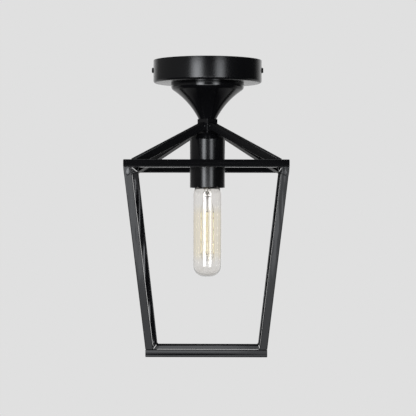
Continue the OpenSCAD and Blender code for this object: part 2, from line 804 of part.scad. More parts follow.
module contact_rivets() {
    color(brass) for (side = [-1, 1]) translate([side * terminal_x, 0, 0]) {
        translate([0, 0, holder_floor_z - leaf_t])
            cylinder(h = holder_floor_t + leaf_t, r = rivet_d / 2);
        translate([0, 0, holder_floor_z - leaf_t - rivet_head_h])
            cylinder(h = rivet_head_h, r = rivet_head_r);
    }
}

module holder_terminals() {
    color(brass) for (side = [-1, 1])
        translate([side * terminal_x, 0, holder_floor_top_z]) difference() {
            translate([0, 0, terminal_size[2] / 2]) cube(terminal_size, center = true);
            translate([0, 0, lead_level_z - holder_floor_top_z]) rotate([0, 90, 0])
                cylinder(h = 2 * terminal_size[0], r = lead_hole_d / 2, center = true);
            translate([0, 0, lead_level_z - holder_floor_top_z])
                cylinder(h = terminal_size[2], r = terminal_screw_d / 2 + tapped_gap);
        }
}

module holder_terminal_screws() {
    top_z = holder_floor_top_z + terminal_size[2];
    color(zinc) for (side = [-1, 1])
        translate([side * terminal_x, 0, top_z]) rotate([180, 0, 0])
            slotted_screw(terminal_screw_d, top_z - lead_level_z - lead_d / 2 - slip_gap,
                terminal_head_d, terminal_head_h);
}

// ---------------------------------------------------------------- bulb

module bulb_tip() {
    color(zinc) translate([0, 0, bulb_tip_z - tip_h])
        cylinder(h = tip_h, r1 = tip_r, r2 = tip_r - tip_h);
}

module bulb_cap_insulator() {
    top = bulb_tip_z - tip_h;
    color("#17161a") rotate_extrude() polygon([
        [exhaust_r, top], [tip_r + 0.4, top], [insulator_r, insulator_low_z],
        [insulator_r - 1, insulator_low_z - 1.5], [exhaust_r, insulator_low_z - 1.5]
    ]);
}

module bulb_cap_shell() {
    color("#c8b98c") difference() {
        union() {
            threaded_core(thread_d / 2, thread_low_z - over, thread_top_z, thread_pitch / 2);
            translate([0, 0, cap_rim_z])
                cylinder(h = thread_low_z - cap_rim_z - skirt_bevel, r = cap_skirt_r);
            translate([0, 0, thread_low_z - skirt_bevel])
                cylinder(h = skirt_bevel, r1 = cap_skirt_r, r2 = cap_skirt_r - skirt_bevel);
        }
        translate([0, 0, cap_rim_z - over])
            cylinder(h = thread_top_z - cap_rim_z + 2 * over, r = cap_bore_r);
    }
}

module bulb_driver_board() {
    color("#2e6b3e") translate([-board_size[0] / 2, -board_size[1] / 2, board_z]) cube(board_size);
}

module bulb_driver_capacitor() {
    color("#31343a") translate([capacitor_x, board_size[1] / 2 + capacitor_r, board_z + 1])
        cylinder(h = capacitor_h, r = capacitor_r);
}

// Half outline of the glass, drawn in from its outside by inset
module glass_outline(inset) {
    intersection() {
        union() {
            translate([0, bulb_end_z + bulb_round])
                square([bulb_r - inset, shoulder_z - bulb_end_z - bulb_round]);
            translate([0, bulb_end_z + inset]) square([bulb_r - bulb_round, bulb_round]);
            translate([bulb_r - bulb_round, bulb_end_z + bulb_round])
                circle(bulb_round - inset);
            intersection() {
                translate([bulb_r - bulb_shoulder, shoulder_z]) circle(bulb_shoulder - inset);
                translate([0, shoulder_z]) square([bulb_r, cap_rim_z - shoulder_z]);
            }
            translate([0, shoulder_z]) square([neck_r - inset, neck_top_z - shoulder_z]);
        }
        translate([0, bulb_end_z]) square([bulb_r, neck_top_z - bulb_end_z]);
    }
}

module bulb_glass() {
    color(clear_glass) rotate_extrude() difference() {
        glass_outline(0);
        glass_outline(glass_wall);
    }
}

module bulb_stem() {
    flare_r = neck_r - glass_wall - slip_gap;
    color(clear_glass) rotate_extrude() polygon([
        [exhaust_r, neck_top_z], [flare_r, neck_top_z], [flare_r, neck_top_z - 1],
        [glass_stem_r, neck_top_z - 6], [glass_stem_r, glass_stem_z + 1.5],
        [glass_stem_r - 0.7, glass_stem_z], [exhaust_r, glass_stem_z]
    ]);
}

module filament_sticks() {
    color("#e8d48a") for (i = [0 : sticks - 1]) rotate([0, 0, 360 / sticks * i])
        translate([0, -stick_circle, stick_top_z - stick_len / 2])
            cube([stick_w, stick_t, stick_len], center = true);
}

module filament_end_tabs() {
    color(zinc) for (i = [0 : sticks - 1]) rotate([0, 0, 360 / sticks * i])
        for (z = [stick_top_z, stick_top_z - stick_len - tab_len])
            translate([-tab_size[0] / 2, -stick_circle - tab_size[1] / 2, z])
                cube([tab_size[0], tab_size[1], tab_len]);
}

// Four wires spread from the glass stem to the sticks, and four gather under them
module filament_wires() {
    low_z = stick_top_z - stick_len - tab_len;
    color(zinc) {
        for (i = [0 : sticks - 1]) rotate([0, 0, 360 / sticks * i])
            rod([0, -wire_start_r, glass_stem_z - wire_d / 4],
                [0, -stick_circle, stick_top_z + tab_len + wire_d / 4], wire_d);
        for (i = [0 : sticks - 1]) rotate([0, 0, 360 / sticks * i])
            rod([0, 0, spider_z], [0, -stick_circle, low_z - wire_d / 2], wire_d);
    }
}

mounting_strap();
earth_screw();
earth_washer();
earth_ring_terminal();
canopy();
canopy_side_screws();
terminal_block();
terminal_clamps();
terminal_clamp_screws();
terminal_block_screw();
terminal_block_nut();
live_lead();
neutral_lead();
earth_lead();
trumpet_cone();
stem_tube();
stem_upper_nut();
stem_upper_washer();
hub_block();
roof_arm_front_left();
roof_arm_front_right();
roof_arm_back_left();
roof_arm_back_right();
upper_bar_front();
upper_bar_back();
upper_bar_left();
upper_bar_right();
upright_front_left();
upright_front_right();
upright_back_left();
upright_back_right();
lower_bar_front();
lower_bar_back();
lower_bar_left();
lower_bar_right();
lampholder_sleeve();
sleeve_nut();
holder_cap();
holder_body();
screw_shell();
centre_contact();
contact_rivets();
holder_terminals();
holder_terminal_screws();
bulb_tip();
bulb_cap_shell();
bulb_cap_insulator();
bulb_driver_board();
bulb_driver_capacitor();
bulb_glass();
bulb_stem();
filament_sticks();
filament_end_tabs();
filament_wires();
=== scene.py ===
# %% [markdown]
# # A porch ceiling lantern in black powder coat
#
# This is a close lantern, which needs no chain: a spun canopy, a trumpet-shaped cone, a hub with
# four sloping arms, an open cage of thin square tube, and a clear tubular filament bulb in a
# black sleeve. Its exact construction comes in as a fixed frame, in metres, with the origin in
# the middle of the canopy's top and +Z up. This script gives each piece its finish, makes finer
# shapes where the finish needs them, and lights the lantern in a pale studio.

# %% Load the frame
import bpy
import bmesh
import json
import math
from mathutils import Matrix, Vector


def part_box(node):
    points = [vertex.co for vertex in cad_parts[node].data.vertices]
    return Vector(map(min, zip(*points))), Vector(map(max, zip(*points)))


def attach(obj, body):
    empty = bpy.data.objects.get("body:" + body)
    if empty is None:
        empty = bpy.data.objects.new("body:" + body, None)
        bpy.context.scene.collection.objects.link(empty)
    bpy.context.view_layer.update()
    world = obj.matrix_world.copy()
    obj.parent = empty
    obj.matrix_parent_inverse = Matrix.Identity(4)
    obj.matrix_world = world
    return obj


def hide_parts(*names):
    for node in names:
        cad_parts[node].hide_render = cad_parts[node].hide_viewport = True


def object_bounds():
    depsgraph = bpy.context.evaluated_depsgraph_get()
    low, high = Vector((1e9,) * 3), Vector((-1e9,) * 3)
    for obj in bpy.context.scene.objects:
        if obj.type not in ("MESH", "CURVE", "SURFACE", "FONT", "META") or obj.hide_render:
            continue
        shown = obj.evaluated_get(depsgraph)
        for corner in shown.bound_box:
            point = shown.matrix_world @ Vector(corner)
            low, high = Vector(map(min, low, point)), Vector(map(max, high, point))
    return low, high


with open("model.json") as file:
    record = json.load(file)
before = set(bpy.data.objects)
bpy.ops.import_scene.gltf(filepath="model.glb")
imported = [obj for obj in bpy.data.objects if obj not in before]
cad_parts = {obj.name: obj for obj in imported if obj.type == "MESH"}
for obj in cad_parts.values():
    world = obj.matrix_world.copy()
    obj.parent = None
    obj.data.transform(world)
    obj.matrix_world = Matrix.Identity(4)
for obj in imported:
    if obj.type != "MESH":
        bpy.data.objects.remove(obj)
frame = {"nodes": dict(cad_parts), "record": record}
cad_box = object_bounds()
nodes = frame["nodes"]
MM = 0.001
print("the lantern is", [round(side / MM) for side in cad_box[1] - cad_box[0]], "mm")

# %% [markdown]
# ## The camera
#
# A picture of a long thin thing is best taken from far off with a long lens, because then its
# upright lines stay upright. The camera stands a little over two metres away, with its lens just
# below the middle of the lantern. One could frame the view by eye; here the camera has the place
# and turn at which the cage's eight corners fall where the photograph has them.

# %% Set the camera
CAMERA_PLACE = Vector((28.6, -2233.9, -206.2)) * MM
CAMERA_YAW = 0.01246   # radians, like the next two
CAMERA_PITCH = 0.01798
CAMERA_ROLL = 0.00191
LENS = 171.85          # mm
SENSOR = 36            # mm wide
SIGHT = 200            # m, how far the camera sees


def placed(name, data):
    """An object of the given data, linked into the scene."""
    thing = bpy.data.objects.new(name, data)
    bpy.context.scene.collection.objects.link(thing)
    return thing


look = Vector((-math.sin(CAMERA_YAW) * math.cos(CAMERA_PITCH),
               math.cos(CAMERA_YAW) * math.cos(CAMERA_PITCH),
               math.sin(CAMERA_PITCH)))
level = Vector((math.cos(CAMERA_YAW), math.sin(CAMERA_YAW), 0))
upward = level.cross(look)
side = level * math.cos(CAMERA_ROLL) + upward * math.sin(CAMERA_ROLL)
top = upward * math.cos(CAMERA_ROLL) - level * math.sin(CAMERA_ROLL)

camera_data = bpy.data.cameras.new("camera")
camera_data.lens = LENS
camera_data.sensor_width = SENSOR
camera_data.clip_end = SIGHT
camera = placed("camera", camera_data)
facing = Matrix((side, top, -look)).transposed().to_4x4()
camera.matrix_world = Matrix.Translation(CAMERA_PLACE) @ facing
bpy.context.scene.camera = camera
print("the camera stands", round(CAMERA_PLACE.length, 2), "m away")

# %% [markdown]
# ## Helpers for finishes
#
# A finish is a small network of nodes. Two helpers keep each one short: `linear` turns a colour
# as it looks on screen into the linear light that the renderer counts in, and `add` adds a node,
# sets it up and wires it in one line. The others are the few patterns that nearly every finish
# needs. They use object coordinates, which are metres here, so a pattern's scale is one over its
# real wavelength.

# %% Colour and node helpers
def linear(hex_code):
    """A screen colour such as "1b1b1d" as linear red, green, blue and alpha."""
    parts = [int(hex_code[i:i + 2], 16) / 255 for i in (0, 2, 4)]
    return [p / 12.92 if p <= 0.04045 else ((p + 0.055) / 1.055) ** 2.4 for p in parts] + [1]


def add(tree, kind, inputs=None, **settings):
    """Add a node. Settings are its own choices; inputs are values, or sockets to link."""
    node = tree.nodes.new(kind)
    for name, value in settings.items():
        setattr(node, name, value)
    for name, value in (inputs or {}).items():
        if isinstance(value, bpy.types.NodeSocket):
            tree.links.new(value, node.inputs[name])
        else:
            node.inputs[name].default_value = value
    return node


def new_finish(name, **surface):
    """A material whose Principled surface has the given socket values, ready for its pattern."""
    material = bpy.data.materials.new(name)
    material.use_nodes = True
    tree = material.node_tree
    shader = tree.nodes["Principled BSDF"]
    for socket, value in surface.items():
        shader.inputs[socket.replace("_", " ")].default_value = value
    return material, tree, shader


def place_of(tree, axis=None):
    """Object coordinates in metres: all three, or the one along an axis."""
    place = add(tree, "ShaderNodeTexCoord").outputs["Object"]
    return add(tree, "ShaderNodeSeparateXYZ", {"Vector": place}).outputs[axis] if axis else place


def noise(tree, wavelength_mm, detail=2, roughness=0.5, stretch=None):
    """Smooth noise with the given real wavelength. A stretch below 1 draws it out along an axis."""
    place = place_of(tree)
    if stretch:
        place = add(tree, "ShaderNodeMapping", {
            "Vector": place, "Scale": stretch}).outputs["Vector"]
    return add(tree, "ShaderNodeTexNoise", {
        "Vector": place, "Scale": 1 / (wavelength_mm * MM), "Detail": detail,
        "Roughness": roughness}).outputs["Fac"]


def spread(tree, value, low, high, from_low=0.3, from_high=0.7, **settings):
    """Map a value onto the range low to high. Noise mostly lies between 0.3 and 0.7."""
    return add(tree, "ShaderNodeMapRange", {
        "Value": value, "From Min": from_low, "From Max": from_high,
        "To Min": low, "To Max": high}, **settings).outputs["Result"]


def combine(tree, operation, first, second):
    """One number from two, such as their product or the larger one."""
    return add(tree, "ShaderNodeMath", {0: first, 1: second}, operation=operation).outputs[0]


def blend_colours(tree, factor, first, second):
    """Two colours mixed by a factor from 0 to 1. Each is a screen colour, or a socket to link."""
    ends = [colour if isinstance(colour, bpy.types.NodeSocket) else linear(colour)
            for colour in (first, second)]
    # A mix node has its two colours at sockets 6 and 7, after those for numbers and vectors
    return add(tree, "ShaderNodeMix", {"Factor": factor, 6: ends[0], 7: ends[1]},
               data_type="RGBA").outputs[2]


def relief(tree, shader, heights):
    """Stack bumps on a shader: each is a height from 0 to 1 with its real depth in mm."""
    normal = None
    for height, depth_mm in heights:
        inputs = {"Height": height, "Distance": depth_mm * MM, "Strength": 1}
        if normal:
            inputs["Normal"] = normal
        normal = add(tree, "ShaderNodeBump", inputs).outputs["Normal"]
    tree.links.new(normal, shader.inputs["Normal"])


# %% [markdown]
# ## Black powder coat
#
# The canopy, cone, arms and cage are mild steel, sprayed with dry polyester powder and baked, so
# the powder melts into a satin plastic skin about 0.08 mm thick. It flows a little as it melts
# and sets with a faint orange peel: low swells a few millimetres apart with a finer grain on
# them. One could paint a noise into the colour, but a real coat is one even black; what the eye
# reads is the way its soft highlights waver. So the colour barely changes, and the swells, the
# grain and a slight change of gloss do the work. It is a plastic, so metallic is 0 and IOR 1.5.
#
# Under the coat a square tube keeps faint ridges along its length from the rolls that formed it.
# They bend its reflections into long light and dark bands, so each run of tube has a coat whose
# lowest swells are stretched along it. The rolls also leave the tube smoother than spun sheet,
# so its coat comes out glossier, with next to no peel, and the cone's lies between the two.

# %% Make the powder coat
PEEL_MM = 2.6        # from swell to swell of the orange peel
PEEL_DEPTH = 0.02    # mm, like the other depths
GRAIN_MM = 0.55      # the finer grain, drawn about twice as coarse as it is so that it shows
GRAIN_DEPTH = 0.004
RIDGE_MM = 5.0       # from ridge to ridge across a tube's face
RIDGE_DEPTH = 0.35
TUBE_PEEL_DEPTH = 0.004
DRIFT_MM = 45        # the slow drift of its black

# The coat's roughness at the lows and at the highs of its grain
ON_SHEET = (0.19, 0.26)
ON_CONE = (0.12, 0.16)
ON_TUBE = (0.06, 0.09)

# Stretches that draw a pattern out along one axis, to about thirty times its width
ALONG_X = (0.03, 1, 1)
ALONG_Y = (1, 0.03, 1)
ALONG_Z = (1, 1, 0.03)


def powder_coat(name, gloss, ridges=None):
    """Black powder coat with orange peel, or with ridges along one axis as on a tube."""
    material, tree, shader = new_finish(name, Metallic=0, IOR=1.5)
    swells = noise(tree, PEEL_MM, detail=1)
    grain = noise(tree, GRAIN_MM, detail=2)
    drift = noise(tree, DRIFT_MM, detail=1)
    tone = blend_colours(tree, spread(tree, drift, 0, 1), "0c0c0e", "111113")
    tree.links.new(tone, shader.inputs["Base Color"])
    tree.links.new(spread(tree, grain, *gloss), shader.inputs["Roughness"])
    if ridges:
        relief(tree, shader, [(noise(tree, RIDGE_MM, detail=0, stretch=ridges), RIDGE_DEPTH),
                              (swells, TUBE_PEEL_DEPTH)])
    else:
        relief(tree, shader, [(swells, PEEL_DEPTH), (grain, GRAIN_DEPTH)])
    return material


# %% [markdown]
# ## The metals inside
#
# The strap, nuts and screws are steel with a thin coat of zinc, made bright in a passivating
# bath: a cool grey metal with soft blotches and fine drawing lines. Contacts, clamps and the
# screw shell are rolled or drawn brass. The bulb's cap is rolled brass under a nickel skin, which
# is warmer and duller than zinc. Solder is tin that froze while it ran, so it is smooth with
# shallow dimples. A metal has no colour of its own under the skin: its colour is the tint of its
# reflections, metallic is 1 and the IOR stays at its default.

# %% Make the metals
CLOUD_MM = 7   # from blotch to blotch


def drawn_metal(name, light, dark, smooth, rough, stretch=None, line_mm=0.8, depth_mm=0.004):
    """A metal with cloudy tone and fine lines from rolling or drawing."""
    material, tree, shader = new_finish(name, Metallic=1)
    clouds = noise(tree, CLOUD_MM, detail=3)
    lines = noise(tree, line_mm, detail=2, stretch=stretch)
    tone = blend_colours(tree, spread(tree, clouds, 0, 1), light, dark)
    tree.links.new(tone, shader.inputs["Base Color"])
    tree.links.new(spread(tree, lines, smooth, rough), shader.inputs["Roughness"])
    relief(tree, shader, [(lines, depth_mm)])
    return material


# %% [markdown]
# ## Plastics, rubber and board
#
# The lampholder is moulded phenolic, a hard dark brown plastic filled with wood flour, so it has
# faint darker specks and a dull gloss. The terminal block is natural nylon, milky and slightly
# waxy, which a little light scattering under the skin gives. The leads have extruded silicone:
# matt rubber with faint lengthwise lines. The driver board is glass fibre with green lacquer
# over a woven cloth that just shows, and the capacitor wears a shrunk plastic sleeve.

# %% Make the plastics
SKIN_MM = 0.5        # from dimple to dimple of a moulded skin
SKIN_DEPTH = 0.004
YARN_MM = 0.5        # from yarn to yarn of the board's cloth
YARN_DEPTH = 0.01
BAND_RATE = 20       # radians that a band texture runs through in one unit of its scale


def moulded(name, light, dark, smooth, rough, speck_mm, **surface):
    """A moulded or extruded plastic: two close tones in fine specks, and a soft skin texture."""
    material, tree, shader = new_finish(name, Metallic=0, **surface)
    specks = noise(tree, speck_mm, detail=3, roughness=0.6)
    skin = noise(tree, SKIN_MM, detail=1)
    tone = blend_colours(tree, spread(tree, specks, 0, 1), light, dark)
    tree.links.new(tone, shader.inputs["Base Color"])
    tree.links.new(spread(tree, skin, smooth, rough), shader.inputs["Roughness"])
    relief(tree, shader, [(skin, SKIN_DEPTH)])
    return material


def circuit_board():
    """Green solder lacquer over glass cloth."""
    material, tree, shader = new_finish("green_lacquered_glass_fibre", Metallic=0, IOR=1.5)
    scale = 2 * math.pi / BAND_RATE / (YARN_MM * MM)
    yarns = [add(tree, "ShaderNodeTexWave", {"Vector": place_of(tree), "Scale": scale},
                 bands_direction=way).outputs["Fac"] for way in "XZ"]
    cloth = combine(tree, "MAXIMUM", *yarns)
    tone = blend_colours(tree, cloth, "17502a", "1f6434")
    tree.links.new(tone, shader.inputs["Base Color"])
    tree.links.new(spread(tree, cloth, 0.28, 0.36, 0, 1), shader.inputs["Roughness"])
    relief(tree, shader, [(cloth, YARN_DEPTH)])
    return material


# %% [markdown]
# ## Glass and filament
#
# The bulb is drawn soda-lime tube, closed in a flame at one end. It is clear, IOR 1.52, and it
# needs no bump: its real inner and outer walls bend the light. What gives it away as glass is a
# set of faint streaks from the drawing. Round the filaments its colour also holds a painted warm
# reflection of the sticks, laid ragged along the streaks; both are slight changes of its clear
# colour. The cap's insulator is opaque black glass, poured molten. A filament stick is a glass
# strip with a row of tiny blue chips under silicone rubber full of yellow phosphor, which is why an
# unlit one looks like pale custard: matt, cloudy and slightly translucent. Its weak glow of its own
# is painted light: it brightens the sticks in place of the light that the bulb's glass keeps off
# them, and in part stands for the phosphor's real turning of the blue in daylight to yellow.

# %% Make the glasses and the phosphor
STREAK_MM = 2.0        # from streak to streak round the glass
REFLECTION_FADE = 7 * MM     # over which the painted warm reflection fades above and below the filaments
REFLECTION_RAGGED = 12 * MM  # how much farther it reaches along one streak than along another
REFLECTION_THIN = 0.35       # how much of it lies between the streaks
MOTTLE_MM = 1.6        # from cloud to cloud in the phosphor
MOTTLE_DEPTH = 0.02


def clear_glass():
    """Clear glass with faint streaks, and a painted warm reflection of the sticks over their
    height.
    """
    material, tree, shader = new_finish(
        "clear_soda_lime_glass", Metallic=0, IOR=1.52, Transmission_Weight=1)
    streak = noise(tree, STREAK_MM, detail=1, stretch=ALONG_Z)
    ragged = spread(tree, streak, -REFLECTION_RAGGED / 2, REFLECTION_RAGGED / 2)
    height = combine(tree, "ADD", place_of(tree, "Z"), ragged)
    # The warm tint over the sticks' height is a painted reflection of the sticks, ragged along the
    # streaks
    reflected_low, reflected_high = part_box("filament_sticks")
    below_top = spread(tree, height, 1, 0, reflected_high.z, reflected_high.z + REFLECTION_FADE)
    above_end = spread(tree, height, 0, 1, reflected_low.z - REFLECTION_FADE, reflected_low.z)
    reflection_span = combine(tree, "MULTIPLY", below_top, above_end)
    painted_reflection = combine(tree, "MULTIPLY", reflection_span, spread(tree, streak, REFLECTION_THIN, 1))
    clear = blend_colours(tree, spread(tree, streak, 0, 1), "fffefd", "f8f6f3")
    tree.links.new(blend_colours(tree, painted_reflection, clear, "fffaee"), shader.inputs["Base Color"])
    shader.inputs["Roughness"].default_value = 0
    return material


def phosphor_silicone():
    """Pale custard rubber that lets a little light in, with a weak painted glow."""
    material, tree, shader = new_finish(
        "phosphor_silicone", Metallic=0, IOR=1.41, Subsurface_Weight=0.3, Subsurface_Scale=0.0005)
    shader.inputs["Subsurface Radius"].default_value = (1, 0.85, 0.5)
    cloud = noise(tree, MOTTLE_MM, detail=3)
    tone = blend_colours(tree, spread(tree, cloud, 0, 1), "fff8e2", "faefd0")
    tree.links.new(tone, shader.inputs["Base Color"])
    # A weak painted glow: it brightens the sticks in place of the light that the glass keeps off
    # them, and in part is the phosphor's real glow in daylight
    shader.inputs["Emission Color"].default_value = linear("fff4d2")
    shader.inputs["Emission Strength"].default_value = 0.4
    tree.links.new(spread(tree, cloud, 0.45, 0.6), shader.inputs["Roughness"])
    relief(tree, shader, [(cloud, MOTTLE_DEPTH)])
    return material


# %% [markdown]
# ## Which finish goes on which piece
#
# Every piece names a finish slot in the frame's record, so one table of slots is enough: each
# slot gets its material, and each piece takes the material of its slot. Doing it by slot and not
# by piece means that no screw or washer is forgotten. Only the cage's tubes and the cone differ:
# they share the slot of the black coat, but take the coat that lies along their own length.

# %% Give every carried-over piece its finish
finishes = {
    "black_powder_coat": powder_coat("satin_black_powder_coat", ON_SHEET),
    "zinc_plated_steel": drawn_metal("bright_zinc_plate", "b7bbc1", "a4a8ad", 0.24, 0.42, ALONG_X),
    "brass": drawn_metal("rolled_brass", "d9b45c", "c79f4c", 0.22, 0.38, ALONG_Z),
    "nickel_plated_cap": drawn_metal("nickel_plated_brass", "cfc8b8", "bdb6a6", 0.2, 0.34, ALONG_Z),
    "solder": drawn_metal("tin_solder", "c2c3c4", "a9aaab", 0.25, 0.45, None, 1.6, 0.03),
    "nickel_wire": drawn_metal("drawn_nickel", "cdc8be", "b3ada3", 0.28, 0.4, ALONG_Z, 0.3, 0.002),
    "phenolic": moulded("moulded_phenolic", "3a2f29", "2b231f", 0.34, 0.48, 0.7, IOR=1.6),
    "white_nylon": moulded("natural_nylon", "ece8dc", "e3dece", 0.38, 0.5, 3, IOR=1.53,
                           Subsurface_Weight=0.15, Subsurface_Scale=0.001),
    "brown_insulation": moulded("brown_silicone", "7a5234", "6c472c", 0.5, 0.62, 1.5, IOR=1.41),
    "blue_insulation": moulded("blue_silicone", "3a6bb0", "315d9b", 0.5, 0.62, 1.5, IOR=1.41),
    "green_insulation": moulded("green_silicone", "5f9440", "527f36", 0.5, 0.62, 1.5, IOR=1.41),
    "capacitor_sleeve": moulded("shrunk_sleeve", "35383f", "2c2f35", 0.25, 0.35, 4, IOR=1.5),
    "black_glass": moulded("poured_black_glass", "121116", "19181d", 0.06, 0.12, 5, IOR=1.52),
    "driver_board": circuit_board(),
    "clear_glass": clear_glass(),
    "filament_phosphor": phosphor_silicone(),
}
upright_coat = powder_coat("powder_coat_on_uprights", ON_TUBE, ALONG_Z)
cross_coat = powder_coat("powder_coat_on_cross_bars", ON_TUBE, ALONG_X)
side_coat = powder_coat("powder_coat_on_side_bars", ON_TUBE, ALONG_Y)
cone_coat = powder_coat("powder_coat_on_cone", ON_CONE)
tube_coats = {"upright": upright_coat, "bar_front": cross_coat, "bar_back": cross_coat,
              "bar_left": side_coat, "bar_right": side_coat}
slot_of = {part["node"]: part["material_slot"] for part in frame["record"]["subparts"]}
for name, piece in nodes.items():
    on_tube = [coat for run, coat in tube_coats.items() if run in name]
    piece.data.materials.clear()
    piece.data.materials.append(on_tube[0] if on_tube else finishes[slot_of[name]])
print(len(nodes), "pieces took", len(set(slot_of.values())), "finishes")

# %% [markdown]
# ## Turned and swept shapes
#
# Two ways of making a mesh serve nearly all the finer pieces. A lathe turns an outline about the
# lantern's axis, as the canopy, cone and sleeve are really spun on one. A sweep carries a round
# section along a path, as a lead or wire is really drawn. Both make closed skins, rounded
# smoothly and kept sharp only where two faces meet at a real edge.

# %% Helpers for meshes
def finish_mesh(name, mesh, sharp_degrees=40):
    """Turn a bmesh into an object with smooth faces and sharp real edges."""
    bmesh.ops.remove_doubles(mesh, verts=mesh.verts, dist=1e-7)
    bmesh.ops.recalc_face_normals(mesh, faces=mesh.faces)
    data = bpy.data.meshes.new(name)
    mesh.to_mesh(data)
    mesh.free()
    data.shade_smooth()
    data.set_sharp_from_angle(angle=math.radians(sharp_degrees))
    return placed(name, data)


def fit(piece, slot, body, *replaced, finish=None):
    """Give a finished piece its slot's material or a finish of its own, hang it on its body and
    hide what it replaces."""
    piece.data.materials.append(finish or finishes[slot])
    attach(piece, body)
    if replaced:
        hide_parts(*replaced)
    print(piece.name, "has", len(piece.data.polygons), "faces")


def arc(centre, radius, start, end, steps):
    """Points along an arc in the outline's plane, angles in degrees, both ends included."""
    turns = [math.radians(start + (end - start) * i / steps) for i in range(steps + 1)]
    return [(centre[0] + radius * math.cos(t), centre[1] + radius * math.sin(t)) for t in turns]


def turned(mesh, outline, segments=128, closed=True, wobble=None):
    """Turn an outline of (radius, height) points about the axis, into the given bmesh."""
    rings = []
    for i in range(segments):
        turn = 2 * math.pi * i / segments
        reach = wobble(turn) if wobble else 1
        rings.append([mesh.verts.new((r * reach * math.cos(turn), r * reach * math.sin(turn), z))
                      for r, z in outline])
    count = len(outline) if closed else len(outline) - 1
    for ring, after in zip(rings, rings[1:] + rings[:1]):
        for i in range(count):
            j = (i + 1) % len(outline)
            mesh.faces.new((ring[i], ring[j], after[j], after[i]))


def swept(mesh, path, radius, sides=16, closed=False):
    """Carry a round section along a path. The radius is one number, or one for each point."""
    points = [Vector(p) for p in path]
    last = len(points) - 1
    radii = radius if isinstance(radius, list) else [radius] * len(points)
    rings, across = [], None
    for i, point in enumerate(points):
        before = points[i - 1] if i > 0 or closed else points[0]
        behind = points[(i + 1) % len(points)] if i < last or closed else points[last]
        along = (behind - before).normalized()
        across = across or along.orthogonal()
        across = (across - across.project(along)).normalized()
        other = along.cross(across)
        rings.append([mesh.verts.new(point + radii[i] * (
            across * math.cos(2 * math.pi * k / sides) + other * math.sin(2 * math.pi * k / sides)))
            for k in range(sides)])
    for ring, after in zip(rings, rings[1:] + rings[:1] if closed else rings[1:]):
        for k in range(sides):
            mesh.faces.new((ring[k], ring[(k + 1) % sides], after[(k + 1) % sides], after[k]))
    if not closed:
        mesh.faces.new(rings[0][::-1])
        mesh.faces.new(rings[-1])


# %% [markdown]
# ## The canopy, cone and sleeve
#
# These three are spun from sheet steel over a wooden former, so they are thin shells with one
# even wall and soft bends. Their outlines repeat the frame's, at the frame's own sizes, but the
# curves are drawn finely enough that the long highlights on them run without a kink. Each free
# edge gets a tiny round, because paint never covers a knife edge.

# %% Spin the canopy
SHEET = 1.0 * MM
EDGE = 0.3 * MM         # round on a free edge of painted sheet
CANOPY_ROUND = 2.5 * MM
STEM_HOLE = 5.2 * MM

canopy_low, canopy_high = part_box("canopy")
canopy_r = canopy_high.x
canopy_outline = (
    [(STEM_HOLE, canopy_low.z)]
    + arc((canopy_r - CANOPY_ROUND, canopy_low.z + CANOPY_ROUND), CANOPY_ROUND, -90, 0, 14)
    + arc((canopy_r - EDGE, -EDGE), EDGE, 0, 90, 4)
    + arc((canopy_r - SHEET + EDGE, -EDGE), EDGE, 90, 180, 4)
    + arc((canopy_r - CANOPY_ROUND, canopy_low.z + CANOPY_ROUND), CANOPY_ROUND - SHEET, 0, -90, 8)
    + [(STEM_HOLE, canopy_low.z + SHEET)]
)
mesh = bmesh.new()
turned(mesh, canopy_outline, segments=192)
fit(finish_mesh("canopy_shell", mesh), "black_powder_coat", "lantern", "canopy")

# %% Spin the trumpet cone
CONE_WALL = 1.2 * MM
CONE_ROUND = 5.2 * MM   # outside radius of the shoulder under the rim
CONE_FLARE = 85 * MM    # radius of the hollow flare
CONE_RIM = 3.8 * MM     # straight height of the rim
CONE_FOOT_R = 10 * MM

cone_low, cone_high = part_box("trumpet_cone")
cone_r = cone_high.x
shoulder = Vector((cone_r - CONE_ROUND, cone_high.z - CONE_RIM))
foot = Vector((CONE_FOOT_R, cone_low.z))
# The flare's centre lies outside the cone, one flare radius from the foot and as far from the
# shoulder's arc, so that the two arcs touch
reach = (shoulder - foot).length
along = (CONE_FLARE ** 2 - (CONE_FLARE + CONE_ROUND) ** 2 + reach ** 2) / (2 * reach)
aside = math.sqrt(CONE_FLARE ** 2 - along ** 2)
toward = (shoulder - foot) / reach
flare = foot + along * toward + aside * Vector((toward.y, -toward.x))
meeting = math.degrees(math.atan2(flare.y - shoulder.y, flare.x - shoulder.x))


def foot_turn(radius, height):
    """Where an arc about the flare's centre comes down to the given height, in degrees."""
    return 180 - math.degrees(math.asin((height - flare.y) / radius))


cone_outline = (
    [(STEM_HOLE, cone_low.z + CONE_WALL), (STEM_HOLE, cone_low.z)]
    + arc(flare, CONE_FLARE, foot_turn(CONE_FLARE, cone_low.z), meeting + 180, 48)
    + arc(shoulder, CONE_ROUND, meeting, 0, 16)[1:]
    + arc((cone_r - EDGE, cone_high.z - EDGE), EDGE, 0, 90, 4)
    + [(cone_r - CONE_WALL, cone_high.z)]
    + arc(shoulder, CONE_ROUND - CONE_WALL, 0, meeting, 12)
    + arc(flare, CONE_FLARE + CONE_WALL, meeting + 180,
          foot_turn(CONE_FLARE + CONE_WALL, cone_low.z + CONE_WALL), 32)[1:]
)
mesh = bmesh.new()
turned(mesh, cone_outline, segments=160)
fit(finish_mesh("trumpet_cone_shell", mesh), "black_powder_coat", "lantern", "trumpet_cone",
    finish=cone_coat)

# %% Spin the lampholder sleeve
CROWN_R = 14.5 * MM
SLEEVE_BEVEL = 6 * MM
BEVEL_SOFT = 0.8 * MM  # how far each bend of the bevel is eased

sleeve_low, sleeve_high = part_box("lampholder_sleeve")
sleeve_r = sleeve_high.x
inner_r = sleeve_r - SHEET
bevel_low = sleeve_high.z - SLEEVE_BEVEL
bevel_turn = math.atan2(SLEEVE_BEVEL, sleeve_r - CROWN_R)


